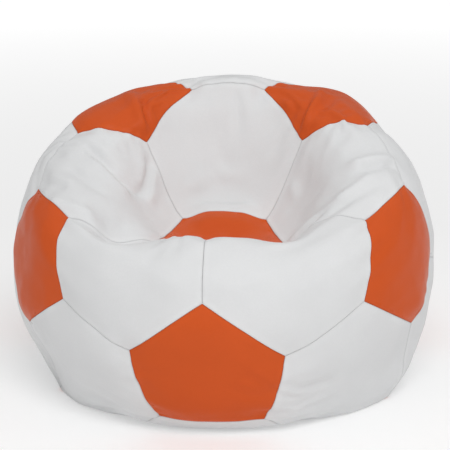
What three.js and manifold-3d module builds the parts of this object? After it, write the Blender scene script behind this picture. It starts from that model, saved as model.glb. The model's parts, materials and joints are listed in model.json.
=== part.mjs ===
// A bean bag chair sewn like a football: twelve pentagons and twenty hexagons of leatherette over a liner
// full of beads. The ball has slumped on the floor, and keeps the hollow that a sitter pressed into it.
// Millimetres, +Z up, the seat faces -Y, -X is left. The origin is on the floor under the middle of the bag.

import * as THREE from "three";
import { mergeVertices } from "three/addons/utils/BufferGeometryUtils.js";
import Module from "manifold-3d";

// --- driving dimensions ---

const PANEL_EDGE = 200; // the length of every seam between two panels
const STEPS_PER_EDGE = 3; // facets along one seam
const LEAN_BACK = 13; // degrees that the ball is rolled back from pentagon-forward

// The sitter's print: an ellipsoid pressed down into the ball, and where its lowest point ends up.
const PRINT_RADII = new THREE.Vector3(286, 284, 310);
const PRINT_FORWARD = 124; // how far in front of the middle it stays
const SEAT_HEIGHT = 345; // the seat's lowest point above the floor

// How full the ball is, as a share of the round ball that its panels would make.
const FILL_BEFORE_SITTING = 0.92;
const FILL_AFTER_SITTING = 0.83;

// Layers, from the outer face of the cover inwards.
const LEATHERETTE = 1.2;
const LINER_DEPTH = 6;
const LINER_THICKNESS = 0.6;
const BEADS_DEPTH = 7.2;
const SEAM_GAP = 0.3; // between the cut edges of neighbouring panels

// The filling zip, in the upright seam at the middle of the rear. Depths are below the cover's outer face.
const ZIP_LENGTH = 176;
const SLOT_WIDTH = 14; // between the panel edges beside the zip
const SLOT_CORNER = 3;
const TAPE_WIDTH = 10;
const TAPE_THICKNESS = 0.6;
const TAPE_DEPTH = 2.4;
const COIL_WIDTH = 2.4;
const COIL_THICKNESS = 1.6;
const COIL_DEPTH = 0.5;
const ZIP_CENTRE_GAP = 1.4; // between the two coils, where the slider's wedge runs
const ZIP_GAP = 0.3; // between zip pieces that touch on the real chair
const STOP_LENGTH = 4;
const SLIDER_LENGTH = 15;
const SLIDER_WIDTH = 9.6;
const SLIDER_PLATE = 1.2;
const SLIDER_CORNER = 2;
const WEDGE_LENGTH = 10;
const WEDGE_WIDTH = 0.9;
const BAIL_BORE = 2.5; // inner radius of the arch that holds the tab
const BAIL_RADIUS = 3.8;
const BAIL_WIDTH = 2;
const PIVOT_ABOVE_PLATE = 1.5;
const TAB_LENGTH = 30;
const TAB_WIDTH = 8;
const TAB_THICKNESS = 1.5;
const TAB_CORNER = 1.5;
const TAB_BAR = 1.6; // the strip of the tab that lies in the bail
const EYE_WIDTH = 3.4;
const EYE_LENGTH = 6;

// --- colours and finishes ---

const ORANGE = { color: 0xcc582b, roughness: 0.45, metalness: 0 };
const WHITE = { color: 0xe4e5e6, roughness: 0.45, metalness: 0 };
const LINER_CLOTH = { color: 0xd9d7d0, roughness: 0.9, metalness: 0 };
const BEADS = { color: 0xf4f4f2, roughness: 0.8, metalness: 0 };
const ZIP_TAPE = { color: 0xe6e6e4, roughness: 0.85, metalness: 0 };
const ZIP_COIL = { color: 0xdededb, roughness: 0.4, metalness: 0 };
const ZIP_METAL = { color: 0xa9abad, roughness: 0.35, metalness: 1 };

// --- the ball's plan: an icosahedron with its corners cut off ---

const GOLDEN = (1 + Math.sqrt(5)) / 2;

// Each pentagon sits on one corner of the icosahedron: [to the right, up, towards the sitter's feet].
const PENTAGONS = {
  front: [0, -1, GOLDEN],
  seat: [0, 1, GOLDEN],
  side_left: [-GOLDEN, 0, 1],
  side_right: [GOLDEN, 0, 1],
  top_left: [-1, GOLDEN, 0],
  top_right: [1, GOLDEN, 0],
  base_left: [-1, -GOLDEN, 0],
  base_right: [1, -GOLDEN, 0],
  rear_left: [-GOLDEN, 0, -1],
  rear_right: [GOLDEN, 0, -1],
  rear_upper: [0, 1, -GOLDEN],
  rear_lower: [0, -1, -GOLDEN],
};

// Each hexagon sits between three pentagons.
const HEXAGONS = {
  front_left: ["front", "side_left", "seat"],
  front_right: ["front", "side_right", "seat"],
  seat_left: ["side_left", "seat", "top_left"],
  seat_right: ["side_right", "seat", "top_right"],
  backrest: ["seat", "top_left", "top_right"],
  lower_left: ["front", "side_left", "base_left"],
  lower_right: ["front", "side_right", "base_right"],
  base_front: ["front", "base_left", "base_right"],
  base_rear: ["base_left", "base_right", "rear_lower"],
  flank_low_left: ["side_left", "base_left", "rear_left"],
  flank_low_right: ["side_right", "base_right", "rear_right"],
  flank_high_left: ["side_left", "top_left", "rear_left"],
  flank_high_right: ["side_right", "top_right", "rear_right"],
  crown: ["top_left", "top_right", "rear_upper"],
  shoulder_left: ["top_left", "rear_left", "rear_upper"],
  shoulder_right: ["top_right", "rear_right", "rear_upper"],
  rear_left: ["rear_left", "rear_upper", "rear_lower"],
  rear_right: ["rear_right", "rear_upper", "rear_lower"],
  base_left: ["base_left", "rear_left", "rear_lower"],
  base_right: ["base_right", "rear_right", "rear_lower"],
};

// The middle of a pentagon's corner of the icosahedron, in the chair's axes, with the ball leaning back.
function pentagonCorner(name) {
  const [right, up, forward] = PENTAGONS[name];
  const lean = THREE.MathUtils.degToRad(LEAN_BACK);
  return new THREE.Vector3(
    right,
    up * Math.sin(lean) - forward * Math.cos(lean),
    up * Math.cos(lean) + forward * Math.sin(lean),
  ).multiplyScalar(1.5 * PANEL_EDGE);
}

const corners = Object.fromEntries(Object.keys(PENTAGONS).map((name) => [name, pentagonCorner(name)]));

// The panel corner a third of the way along the icosahedron's edge from one pentagon to the next.
function panelCorner(from, to) {
  return corners[from].clone().lerp(corners[to], 1 / 3);
}

// Neighbouring corners of the icosahedron are three panel edges apart, and the next nearest almost five.
function areNeighbours(one, other) {
  return one !== other && corners[one].distanceTo(corners[other]) < 4 * PANEL_EDGE;
}

// The outline's corners, in order round its middle, anticlockwise as seen from outside.
function inOrder(outline) {
  const middle = new THREE.Vector3();
  outline.forEach((corner) => middle.addScaledVector(corner, 1 / outline.length));
  const outward = middle.clone().normalize();
  const across = outline[0].clone().sub(middle).normalize();
  const along = outward.clone().cross(across);
  const turn = (corner) => {
    const arm = corner.clone().sub(middle);
    return Math.atan2(arm.dot(along), arm.dot(across));
  };
  return [...outline].sort((a, b) => turn(a) - turn(b));
}

function panelPlan() {
  const plan = [];
  for (const name of Object.keys(PENTAGONS)) {
    const around = Object.keys(PENTAGONS).filter((other) => areNeighbours(name, other));
    plan.push({
      name: `pentagon_${name}`,
      finish: ORANGE,
      outline: inOrder(around.map((other) => panelCorner(name, other))),
    });
  }
  for (const [name, trio] of Object.entries(HEXAGONS)) {
    const pairs = trio.flatMap((a) => trio.filter((b) => b !== a).map((b) => [a, b]));
    plan.push({
      name: `hexagon_${name}`,
      finish: WHITE,
      outline: inOrder(pairs.map(([a, b]) => panelCorner(a, b))),
    });
  }
  return plan;
}

// --- the cover: one net of points over all the panels, shared along the seams ---

// Points of the net by their place, so that neighbouring panels share the points of their seam.
class Net {
  constructor() {
    this.points = [];
    this.byPlace = new Map();
    this.triangles = [];
    this.panelOfTriangle = [];
  }

  pointAt(place) {
    const key = place.toArray().map((value) => Math.round(value * 100)).join(" ");
    if (!this.byPlace.has(key)) {
      this.byPlace.set(key, this.points.length);
      this.points.push(place.clone());
    }
    return this.byPlace.get(key);
  }

  addTriangle(panel, a, b, c) {
    this.triangles.push([a, b, c]);
    this.panelOfTriangle.push(panel);
  }
}

// A panel is a fan of triangles from its middle to its seams, each cut into smaller triangles.
function addPanel(net, panel, index) {
  const middle = new THREE.Vector3();
  panel.outline.forEach((corner) => middle.addScaledVector(corner, 1 / panel.outline.length));
  panel.outline.forEach((corner, side) => {
    const next = panel.outline[(side + 1) % panel.outline.length];
    const rows = [];
    for (let out = 0; out <= STEPS_PER_EDGE; out++) {
      const rowStart = middle.clone().lerp(corner, out / STEPS_PER_EDGE);
      const rowEnd = middle.clone().lerp(next, out / STEPS_PER_EDGE);
      const row = [];
      for (let step = 0; step <= out; step++) {
        row.push(net.pointAt(rowStart.clone().lerp(rowEnd, out ? step / out : 0)));
      }
      rows.push(row);
    }
    for (let out = 0; out < STEPS_PER_EDGE; out++) {
      for (let step = 0; step <= out; step++) {
        net.addTriangle(index, rows[out][step], rows[out + 1][step], rows[out + 1][step + 1]);
        if (step < out) {
          net.addTriangle(index, rows[out][step], rows[out + 1][step + 1], rows[out][step + 1]);
        }
      }
    }
  });
}

// Each point's neighbours in the net, with the flat length of the cloth between them.
function clothLinks(net) {
  const links = net.points.map(() => new Map());
  for (const triangle of net.triangles) {
    for (const a of triangle) {
      for (const b of triangle) {
        if (a !== b) links[a].set(b, net.points[a].distanceTo(net.points[b]));
      }
    }
  }
  return links.map((around) => [...around]);
}

// A third of the area of each triangle round a point, pointing outwards, and the volume inside the net.
function outwardAreas(points, triangles) {
  const areas = points.map(() => new THREE.Vector3());
  const one = new THREE.Vector3();
  const other = new THREE.Vector3();
  let volume = 0;
  for (const [a, b, c] of triangles) {
    one.subVectors(points[b], points[a]);
    other.subVectors(points[c], points[a]);
    one.cross(other).multiplyScalar(1 / 6);
    areas[a].add(one);
    areas[b].add(one);
    areas[c].add(one);
    volume += points[a].dot(other.crossVectors(points[b], points[c])) / 6;
  }
  return { areas, volume };
}

// --- the slump: the cover settles round its beads, on the floor, under the sitter's print ---

const BALL_RADIUS = 2.478 * PANEL_EDGE; // to the corners of the panels
const BALL_VOLUME = (4 / 3) * Math.PI * (0.985 * BALL_RADIUS) ** 3;
const BALL_AREA = 4 * Math.PI * BALL_RADIUS ** 2;
const START_HEIGHT = 2.45 * PANEL_EDGE; // of the ball's middle above the floor
const STEPS_TO_SETTLE = 400;
const STEPS_TO_SIT = 1000;
const FILL_STIFFNESS = 10;
const CROWN_PUSH = 0.1; // the beads that the sitter displaces push out most near the top
const CLOTH_WEIGHT = 0.028;
const DRAG = 0.06;
const SQUEEZE = 0.14; // how much the cloth resists being pushed together, against 1 for pulling
const BENDING = 0.05;
const PULL_SWEEPS = 2;
const PULL_SHARE = 0.8; // of a link's error that one sweep takes away
const FLOOR_GRIP = 0.5;
const PRINT_DROP = 300; // the print starts this far above its place
const DEEPEST_PRESS = 30; // that the print moves a point in one step

function holdLengths(points, links) {
  const moves = points.map((point, index) => {
    const move = new THREE.Vector3();
    for (const [other, flat] of links[index]) {
      const toOther = points[other].clone().sub(point);
      const length = toOther.length() + 1e-9;
      const error = length - flat;
      const weight = error > 0 ? 1 : SQUEEZE;
      move.addScaledVector(toOther, (weight * error) / length);
    }
    return move.multiplyScalar(PULL_SHARE / links[index].length);
  });
  points.forEach((point, index) => point.add(moves[index]));
}

// How far each value lies from the mean of its neighbours' values.
function offsetsFromMean(values, links) {
  return values.map((value, index) => {
    const mean = new THREE.Vector3();
    for (const [other] of links[index]) mean.addScaledVector(values[other], 1 / links[index].length);
    return mean.sub(value);
  });
}

function resistBending(points, links) {
  const twice = offsetsFromMean(offsetsFromMean(points, links), links);
  points.forEach((point, index) => point.addScaledVector(twice[index], -BENDING));
}

// Points inside the print's ellipsoid move out of it, square to its surface.
function pressPrint(points, lift) {
  const middle = new THREE.Vector3(0, -PRINT_FORWARD, SEAT_HEIGHT + PRINT_RADII.z + lift);
  const square = PRINT_RADII.clone().multiply(PRINT_RADII);
  for (const point of points) {
    const arm = point.clone().sub(middle);
    const share = arm.clone().divide(PRINT_RADII).length();
    if (share < 1) {
      const way = arm.clone().divide(square).normalize();
      const distance = ((1 - share) * arm.length()) / Math.max(share, 1e-3);
      point.addScaledVector(way, Math.min(distance, DEEPEST_PRESS));
    }
  }
}

// The zip's tape keeps its own seam straight.
function keepStraight(points, seam) {
  const first = points[seam[0]];
  const last = points[seam[seam.length - 1]];
  seam.forEach((index, step) => points[index].lerpVectors(first, last, step / (seam.length - 1)));
}

function restOnFloor(points, before) {
  points.forEach((point, index) => {
    if (point.z < 0) {
      point.x = THREE.MathUtils.lerp(before[index].x, point.x, FLOOR_GRIP);
      point.y = THREE.MathUtils.lerp(before[index].y, point.y, FLOOR_GRIP);
      point.z = 0;
    }
  });
}

function slump(net, speeds, fill, steps, printLift) {
  const { points, triangles, links, zipSeam } = net;
  const meanArea = BALL_AREA / points.length;
  for (let step = 0; step < steps; step++) {
    const { areas, volume } = outwardAreas(points, triangles);
    const push = FILL_STIFFNESS * (fill - volume / BALL_VOLUME);
    const top = Math.max(...points.map((point) => point.z));
    const before = points.map((point) => point.clone());
    points.forEach((point, index) => {
      const below = (top - point.z) / (2 * BALL_RADIUS);
      speeds[index].addScaledVector(areas[index], (push - CROWN_PUSH * below) / meanArea);
      speeds[index].z -= CLOTH_WEIGHT;
      speeds[index].multiplyScalar(1 - DRAG);
      point.add(speeds[index]);
    });
    for (let sweep = 0; sweep < PULL_SWEEPS; sweep++) holdLengths(points, links);
    resistBending(points, links);
    if (printLift) pressPrint(points, printLift(step / steps));
    keepStraight(points, zipSeam);
    restOnFloor(points, before);
    points.forEach((point, index) => speeds[index].subVectors(point, before[index]));
  }
}

// The seam from the rear's upper pentagon down to its lower one.
function findZipSeam(net) {
  const upper = panelCorner("rear_upper", "rear_lower");
  const lower = panelCorner("rear_lower", "rear_upper");
  const seam = [];
  for (let step = 0; step <= STEPS_PER_EDGE; step++) {
    seam.push(net.pointAt(upper.clone().lerp(lower, step / STEPS_PER_EDGE)));
  }
  return seam;
}

function centreOnOrigin(points) {
  const box = new THREE.Box3().setFromPoints(points);
  const middle = box.getCenter(new THREE.Vector3());
  points.forEach((point) => point.sub(new THREE.Vector3(middle.x, middle.y, box.min.z)));
}

function slumpedCover(plan) {
  const net = new Net();
  plan.forEach((panel, index) => addPanel(net, panel, index));
  net.links = clothLinks(net);
  net.zipSeam = findZipSeam(net);
  net.points.forEach((point) => {
    point.z += START_HEIGHT;
  });
  const speeds = net.points.map(() => new THREE.Vector3());
  slump(net, speeds, FILL_BEFORE_SITTING, STEPS_TO_SETTLE, null);
  const lowerPrint = (share) => Math.max(0, PRINT_DROP * (1 - 2 * share));
  slump(net, speeds, FILL_AFTER_SITTING, STEPS_TO_SIT, lowerPrint);
  centreOnOrigin(net.points);
  net.outward = outwardAreas(net.points, net.triangles).areas.map((area) => area.normalize());
  return net;
}

// --- solids ---

function geometryOf(points, triangles) {
  const geometry = new THREE.BufferGeometry().setFromPoints(points);
  return geometry.setIndex(triangles.flat());
}

// The net's points moved inwards along the cover's normals.
function layer(net, depth) {
  return net.points.map((point, index) => point.clone().addScaledVector(net.outward[index], -depth));
}

// The edges that only one of the triangles has, in that triangle's direction.
function rimOf(triangles) {
  const directed = new Set(triangles.flatMap(([a, b, c]) => [`${a} ${b}`, `${b} ${c}`, `${c} ${a}`]));
  const rim = [];
  for (const edge of directed) {
    const [from, to] = edge.split(" ").map(Number);
    if (!directed.has(`${to} ${from}`)) rim.push([from, to]);
  }
  return rim;
}

// A closed sheet between an outer and an inner layer of the same points.
function sheet(outer, inner, triangles) {
  const used = [...new Set(triangles.flat())];
  const place = new Map(used.map((index, order) => [index, order]));
  const points = [...used.map((index) => outer[index]), ...used.map((index) => inner[index])];
  const under = (index) => place.get(index) + used.length;
  const faces = [];
  for (const [a, b, c] of triangles) {
    faces.push([place.get(a), place.get(b), place.get(c)]);
    faces.push([under(a), under(c), under(b)]);
  }
  for (const [from, to] of rimOf(triangles)) {
    faces.push([place.get(to), place.get(from), under(from)]);
    faces.push([place.get(to), under(from), under(to)]);
  }
  return geometryOf(points, faces);
}

// Where a panel's edge points go, so that each of its edges stands back from the seam by the same amount.
function standBack(net, triangles, distance) {
  const moves = new Map();
  for (const [from, to] of rimOf(triangles)) {
    const along = net.points[to].clone().sub(net.points[from]).normalize();
    for (const index of [from, to]) {
      const inward = net.outward[index].clone().cross(along).normalize();
      if (!moves.has(index)) moves.set(index, []);
      moves.get(index).push(inward);
    }
  }
  const points = net.points.map((point) => point.clone());
  for (const [index, [one, other]] of moves) {
    const mitre = one.clone().add(other);
    points[index].addScaledVector(mitre, (2 * distance) / mitre.lengthSq());
    points[index].z = Math.max(points[index].z, 0);
  }
  return points;
}

function panelSheet(net, panel) {
  const triangles = net.triangles.filter((_, index) => net.panelOfTriangle[index] === panel);
  const outer = standBack(net, triangles, SEAM_GAP / 2);
  const inner = outer.map((point, index) => point.clone().addScaledVector(net.outward[index], -LEATHERETTE));
  return sheet(outer, inner, triangles);
}

// The liner is open behind the middle of the zip, where the beads go in.
function linerSheet(net) {
  const mouth = net.zipSeam.slice(1, -1);
  const closed = net.triangles.filter((triangle) => mouth.filter((index) => triangle.includes(index)).length < 2);
  return sheet(layer(net, LINER_DEPTH), layer(net, LINER_DEPTH + LINER_THICKNESS), closed);
}

// --- the zip, in its own axes: X across, Y up along the seam, Z out of the bag ---

const wasm = await Module();
wasm.setup();

function solidOf(geometry) {
  const bare = geometry.clone();
  bare.deleteAttribute("normal");
  bare.deleteAttribute("uv");
  const merged = mergeVertices(bare, 1e-4);
  return new wasm.Manifold(
    new wasm.Mesh({
      numProp: 3,
      vertProperties: merged.attributes.position.array,
      triVerts: new Uint32Array(merged.index.array),
    }),
  );
}

function geometryOfSolid(solid) {
  const { vertProperties, triVerts } = solid.getMesh();
  const geometry = new THREE.BufferGeometry();
  geometry.setAttribute("position", new THREE.BufferAttribute(new Float32Array(vertProperties), 3));
  geometry.setIndex([...triVerts]);
  return geometry;
}

// A box from one corner to the opposite one.
function block(low, high) {
  const size = high.map((value, axis) => value - low[axis]);
  const middle = high.map((value, axis) => (value + low[axis]) / 2);
  return new THREE.BoxGeometry(...size).translate(...middle);
}

function roundedOutline(width, height, radius) {
  const shape = new THREE.Shape();
  const x = width / 2 - radius;
  const y = height / 2 - radius;
  shape.absarc(x, y, radius, 0, Math.PI / 2);
  shape.absarc(-x, y, radius, Math.PI / 2, Math.PI);
  shape.absarc(-x, -y, radius, Math.PI, 1.5 * Math.PI);
  shape.absarc(x, -y, radius, 1.5 * Math.PI, 2 * Math.PI);
  return shape;
}

const TAPE_FLOOR = -TAPE_DEPTH - TAPE_THICKNESS;
const COIL_FLOOR = -COIL_DEPTH - COIL_THICKNESS;

// A strip beside the middle of the zip, on side 1 or -1, as long as the zip.
function zipStrip(side, width, floor, top) {
  const middle = (side * (ZIP_CENTRE_GAP + width)) / 2;
  return block([middle - width / 2, -ZIP_LENGTH / 2, floor], [middle + width / 2, ZIP_LENGTH / 2, top]);
}

function zipStop(end) {
  const width = 2 * COIL_WIDTH + ZIP_CENTRE_GAP;
  const middle = end * (ZIP_LENGTH / 2 + ZIP_GAP + STOP_LENGTH / 2);
  return block(
    [-width / 2, middle - STOP_LENGTH / 2, COIL_FLOOR],
    [width / 2, middle + STOP_LENGTH / 2, -COIL_DEPTH],
  );
}

// The slider's two plates lie above the coils and under the tapes, joined by a wedge between the coils.
const UPPER_PLATE_FLOOR = -COIL_DEPTH + ZIP_GAP;
const UPPER_PLATE_TOP = UPPER_PLATE_FLOOR + SLIDER_PLATE;
const LOWER_PLATE_FLOOR = TAPE_FLOOR - ZIP_GAP - SLIDER_PLATE;
const PIVOT_HEIGHT = UPPER_PLATE_TOP + PIVOT_ABOVE_PLATE;

// A flat piece with its outline in the zip's plane, from one height up to another.
function plate(outline, floor, top) {
  const geometry = new THREE.ExtrudeGeometry(outline, {
    depth: top - floor,
    bevelEnabled: false,
    curveSegments: 5,
  });
  return geometry.translate(0, 0, floor);
}

// The bail is an arch along the zip, on two feet that reach into the upper plate.
function bailOutline() {
  const foot = -PIVOT_ABOVE_PLATE - SLIDER_PLATE / 2;
  const arch = new THREE.Shape();
  arch.moveTo(BAIL_RADIUS, foot);
  arch.absarc(0, 0, BAIL_RADIUS, 0, Math.PI);
  arch.lineTo(-BAIL_RADIUS, foot);
  arch.lineTo(-BAIL_BORE, foot);
  arch.absarc(0, 0, BAIL_BORE, Math.PI, 0, true);
  arch.lineTo(BAIL_BORE, foot);
  return arch;
}

function slider() {
  const outline = roundedOutline(SLIDER_WIDTH, SLIDER_LENGTH, SLIDER_CORNER);
  const upper = plate(outline, UPPER_PLATE_FLOOR, UPPER_PLATE_TOP);
  const lower = plate(outline, LOWER_PLATE_FLOOR, LOWER_PLATE_FLOOR + SLIDER_PLATE);
  const wedge = block(
    [-WEDGE_WIDTH / 2, -WEDGE_LENGTH / 2, LOWER_PLATE_FLOOR + SLIDER_PLATE / 2],
    [WEDGE_WIDTH / 2, WEDGE_LENGTH / 2, UPPER_PLATE_TOP - SLIDER_PLATE / 2],
  );
  const bail = plate(bailOutline(), -BAIL_WIDTH / 2, BAIL_WIDTH / 2)
    .rotateX(Math.PI / 2)
    .rotateZ(Math.PI / 2)
    .translate(0, 0, PIVOT_HEIGHT);
  return geometryOfSolid([upper, lower, wedge, bail].map(solidOf).reduce((whole, piece) => whole.add(piece)));
}

// The tab's own origin is on its pivot. The bail's lower foot stands in its eye when it hangs.
function pullTab() {
  const outline = roundedOutline(TAB_WIDTH, TAB_LENGTH, TAB_CORNER);
  const leaf = plate(outline, -TAB_THICKNESS / 2, TAB_THICKNESS / 2).translate(0, (TAB_BAR - TAB_LENGTH) / 2, 0);
  const eye = block(
    [-EYE_WIDTH / 2, -TAB_BAR / 2 - EYE_LENGTH, -TAB_THICKNESS],
    [EYE_WIDTH / 2, -TAB_BAR / 2, TAB_THICKNESS],
  );
  return geometryOfSolid(solidOf(leaf).subtract(solidOf(eye)));
}

// --- assembly ---

const bag = new THREE.Group();

function addMesh(parent, name, geometry, finish) {
  const mesh = new THREE.Mesh(geometry, new THREE.MeshStandardMaterial(finish));
  mesh.name = name;
  parent.add(mesh);
  return mesh;
}

const plan = panelPlan();
const cover = slumpedCover(plan);

// The zip's own frame: its middle is the middle of the straight seam.
const seamTop = cover.points[cover.zipSeam[0]];
const seamFoot = cover.points[cover.zipSeam[STEPS_PER_EDGE]];
const zip = new THREE.Group();
const zipUp = seamTop.clone().sub(seamFoot).normalize();
const zipOut = new THREE.Vector3(1, 0, 0).cross(zipUp).negate();
zip.position.lerpVectors(seamTop, seamFoot, 0.5);
zip.quaternion.setFromRotationMatrix(
  new THREE.Matrix4().makeBasis(zipUp.clone().cross(zipOut), zipUp, zipOut),
);
zip.updateMatrixWorld(true);
bag.add(zip);

// The panels beside the zip stand back from it, which leaves a slot along the seam.
const slotLength = ZIP_LENGTH + 2 * (STOP_LENGTH + 2 * ZIP_GAP);
const slotOutline = roundedOutline(SLOT_WIDTH, slotLength, SLOT_CORNER);
const slot = plate(slotOutline, -LINER_DEPTH, LINER_DEPTH).applyMatrix4(zip.matrixWorld);

plan.forEach((panel, index) => {
  const flat = panelSheet(cover, index);
  const besideZip = panel.name === "hexagon_rear_left" || panel.name === "hexagon_rear_right";
  const cut = besideZip ? geometryOfSolid(solidOf(flat).subtract(solidOf(slot))) : flat;
  addMesh(bag, panel.name, cut, panel.finish);
});
addMesh(bag, "inner_liner", linerSheet(cover), LINER_CLOTH);
addMesh(bag, "bead_fill", geometryOf(layer(cover, BEADS_DEPTH), cover.triangles), BEADS);

// The zip's own X axis points to the chair's left.
for (const [label, side] of Object.entries({ left: 1, right: -1 })) {
  const tape = zipStrip(side, TAPE_WIDTH, TAPE_FLOOR, -TAPE_DEPTH);
  const coil = zipStrip(side, COIL_WIDTH, COIL_FLOOR, -COIL_DEPTH);
  addMesh(zip, `zip_tape_${label}`, tape, ZIP_TAPE);
  addMesh(zip, `zip_coil_${label}`, coil, ZIP_COIL);
}
addMesh(zip, "zip_top_stop", zipStop(1), ZIP_METAL);
addMesh(zip, "zip_bottom_stop", zipStop(-1), ZIP_METAL);

// Closed: the slider is at the top of its run. The seam leans out at the top, so the tab hangs clear of it.
const closed = (ZIP_LENGTH - SLIDER_LENGTH) / 2 - ZIP_GAP;
addMesh(zip, "zip_slider", slider(), ZIP_METAL).position.set(0, closed, 0);
const tab = addMesh(zip, "zip_pull_tab", pullTab(), ZIP_METAL);
tab.position.set(0, closed, PIVOT_HEIGHT);
tab.rotation.x = -zipUp.angleTo(new THREE.Vector3(0, 0, 1));

export default bag;
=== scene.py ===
"""A bean bag chair sewn like a football, in orange and white leatherette, slumped with a sitter's hollow.

The cover is worked out as cloth. A coarse net of the flat panels settles over its beads exactly as in the
CAD model. Finer nets of the same panels then relax over that shape, where the spare cloth in the hollow
lies in folds. Each panel becomes a piece of its own, with its edges turned in at the seams.

Blender's objects are in metres. The cloth and the zip are worked out in millimetres, like the CAD model.
"""

import json
import math

import bpy
import numpy as np
from mathutils import Matrix, Vector

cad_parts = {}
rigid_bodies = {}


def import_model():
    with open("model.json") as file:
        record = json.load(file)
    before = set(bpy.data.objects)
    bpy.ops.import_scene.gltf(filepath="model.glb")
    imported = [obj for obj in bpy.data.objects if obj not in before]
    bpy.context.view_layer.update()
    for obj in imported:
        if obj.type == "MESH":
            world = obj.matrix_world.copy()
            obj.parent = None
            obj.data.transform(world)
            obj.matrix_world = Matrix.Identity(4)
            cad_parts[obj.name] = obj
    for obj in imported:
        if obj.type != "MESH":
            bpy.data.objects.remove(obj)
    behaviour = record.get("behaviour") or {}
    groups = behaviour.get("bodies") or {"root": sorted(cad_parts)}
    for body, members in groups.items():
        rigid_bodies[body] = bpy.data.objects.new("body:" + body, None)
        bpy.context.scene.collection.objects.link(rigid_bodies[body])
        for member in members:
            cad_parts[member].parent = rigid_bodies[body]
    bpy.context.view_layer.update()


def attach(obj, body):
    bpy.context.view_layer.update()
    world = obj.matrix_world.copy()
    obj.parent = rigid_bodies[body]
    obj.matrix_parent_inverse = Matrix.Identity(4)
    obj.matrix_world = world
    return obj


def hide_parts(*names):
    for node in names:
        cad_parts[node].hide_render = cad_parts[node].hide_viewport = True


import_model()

MM = 0.001

# --- the ball's plan ---

PANEL_EDGE = 200.0  # the length of every seam between two panels
LEAN_BACK = math.radians(13)  # that the ball is rolled back from pentagon-forward
GOLDEN = (1 + math.sqrt(5)) / 2
ICOSAHEDRON_SCALE = 1.5  # in panel edges: its own edges are then three panel edges long
BEYOND_NEIGHBOURS = 4 * PANEL_EDGE  # the middles of neighbouring pentagons are nearer, and no others

# Each pentagon sits on one corner of an icosahedron: to the right, up, towards the sitter's feet.
PENTAGONS = {
    "front": (0, -1, GOLDEN),
    "seat": (0, 1, GOLDEN),
    "side_left": (-GOLDEN, 0, 1),
    "side_right": (GOLDEN, 0, 1),
    "top_left": (-1, GOLDEN, 0),
    "top_right": (1, GOLDEN, 0),
    "base_left": (-1, -GOLDEN, 0),
    "base_right": (1, -GOLDEN, 0),
    "rear_left": (-GOLDEN, 0, -1),
    "rear_right": (GOLDEN, 0, -1),
    "rear_upper": (0, 1, -GOLDEN),
    "rear_lower": (0, -1, -GOLDEN),
}

# Each hexagon sits between three pentagons.
HEXAGONS = {
    "front_left": ("front", "side_left", "seat"),
    "front_right": ("front", "side_right", "seat"),
    "seat_left": ("side_left", "seat", "top_left"),
    "seat_right": ("side_right", "seat", "top_right"),
    "backrest": ("seat", "top_left", "top_right"),
    "lower_left": ("front", "side_left", "base_left"),
    "lower_right": ("front", "side_right", "base_right"),
    "base_front": ("front", "base_left", "base_right"),
    "base_rear": ("base_left", "base_right", "rear_lower"),
    "flank_low_left": ("side_left", "base_left", "rear_left"),
    "flank_low_right": ("side_right", "base_right", "rear_right"),
    "flank_high_left": ("side_left", "top_left", "rear_left"),
    "flank_high_right": ("side_right", "top_right", "rear_right"),
    "crown": ("top_left", "top_right", "rear_upper"),
    "shoulder_left": ("top_left", "rear_left", "rear_upper"),
    "shoulder_right": ("top_right", "rear_right", "rear_upper"),
    "rear_left": ("rear_left", "rear_upper", "rear_lower"),
    "rear_right": ("rear_right", "rear_upper", "rear_lower"),
    "base_left": ("base_left", "rear_left", "rear_lower"),
    "base_right": ("base_right", "rear_right", "rear_lower"),
}


def pentagon_middle(name):
    """A pentagon's corner of the icosahedron, in the chair's axes, with the ball leaning back."""
    right, up, forward = PENTAGONS[name]
    y = up * math.sin(LEAN_BACK) - forward * math.cos(LEAN_BACK)
    z = up * math.cos(LEAN_BACK) + forward * math.sin(LEAN_BACK)
    return np.array([right, y, z]) * ICOSAHEDRON_SCALE * PANEL_EDGE


MIDDLES = {name: pentagon_middle(name) for name in PENTAGONS}


def panel_corner(start, end):
    """The panel corner a third of the way from one pentagon's middle to the next one's."""
    return MIDDLES[start] * 2 / 3 + MIDDLES[end] / 3


def are_neighbours(one, other):
    """Whether a seam runs from one pentagon straight towards the other."""
    return one != other and np.linalg.norm(MIDDLES[one] - MIDDLES[other]) < BEYOND_NEIGHBOURS


def in_order(outline):
    """The outline's corners in order round its middle, anticlockwise as seen from outside."""
    outline = np.array(outline)
    arms = outline - outline.mean(0)
    outward = outline.mean(0) / np.linalg.norm(outline.mean(0))
    across = arms[0] / np.linalg.norm(arms[0])
    along = np.cross(outward, across)
    return outline[np.argsort(np.arctan2(arms @ along, arms @ across))]


def panel_plan():
    """The outline of every panel, by the name of its CAD node."""
    plan = {}
    for name in PENTAGONS:
        around = [other for other in PENTAGONS if are_neighbours(name, other)]
        plan["pentagon_" + name] = in_order([panel_corner(name, other) for other in around])
    for name, trio in HEXAGONS.items():
        pairs = [(start, end) for start in trio for end in trio if start != end]
        plan["hexagon_" + name] = in_order([panel_corner(*pair) for pair in pairs])
    return plan


PLAN = panel_plan()
CORNER_PAIRS = [(start, end) for start in PENTAGONS for end in PENTAGONS if are_neighbours(start, end)]

# --- nets: a triangular lattice on every panel, shared along the seams ---

PULL_SHARE = 0.8  # of a link's error that one sweep takes away
TINY = 1e-9  # keeps a link without length from dividing by zero


def lattice_index(row, place):
    """A sector's point: its row is counted from the panel's middle, its place along that row."""
    return row * (row + 1) // 2 + place


def lattice_triangles(steps):
    """A sector's triangles, as the numbers of its points."""
    found = []
    for row in range(steps):
        for place in range(row + 1):
            upper = lattice_index(row, place)
            lower = lattice_index(row + 1, place)
            found.append((upper, lower, lower + 1))
            if place < row:
                found.append((upper, lower + 1, upper + 1))
    return np.array(found)


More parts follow.
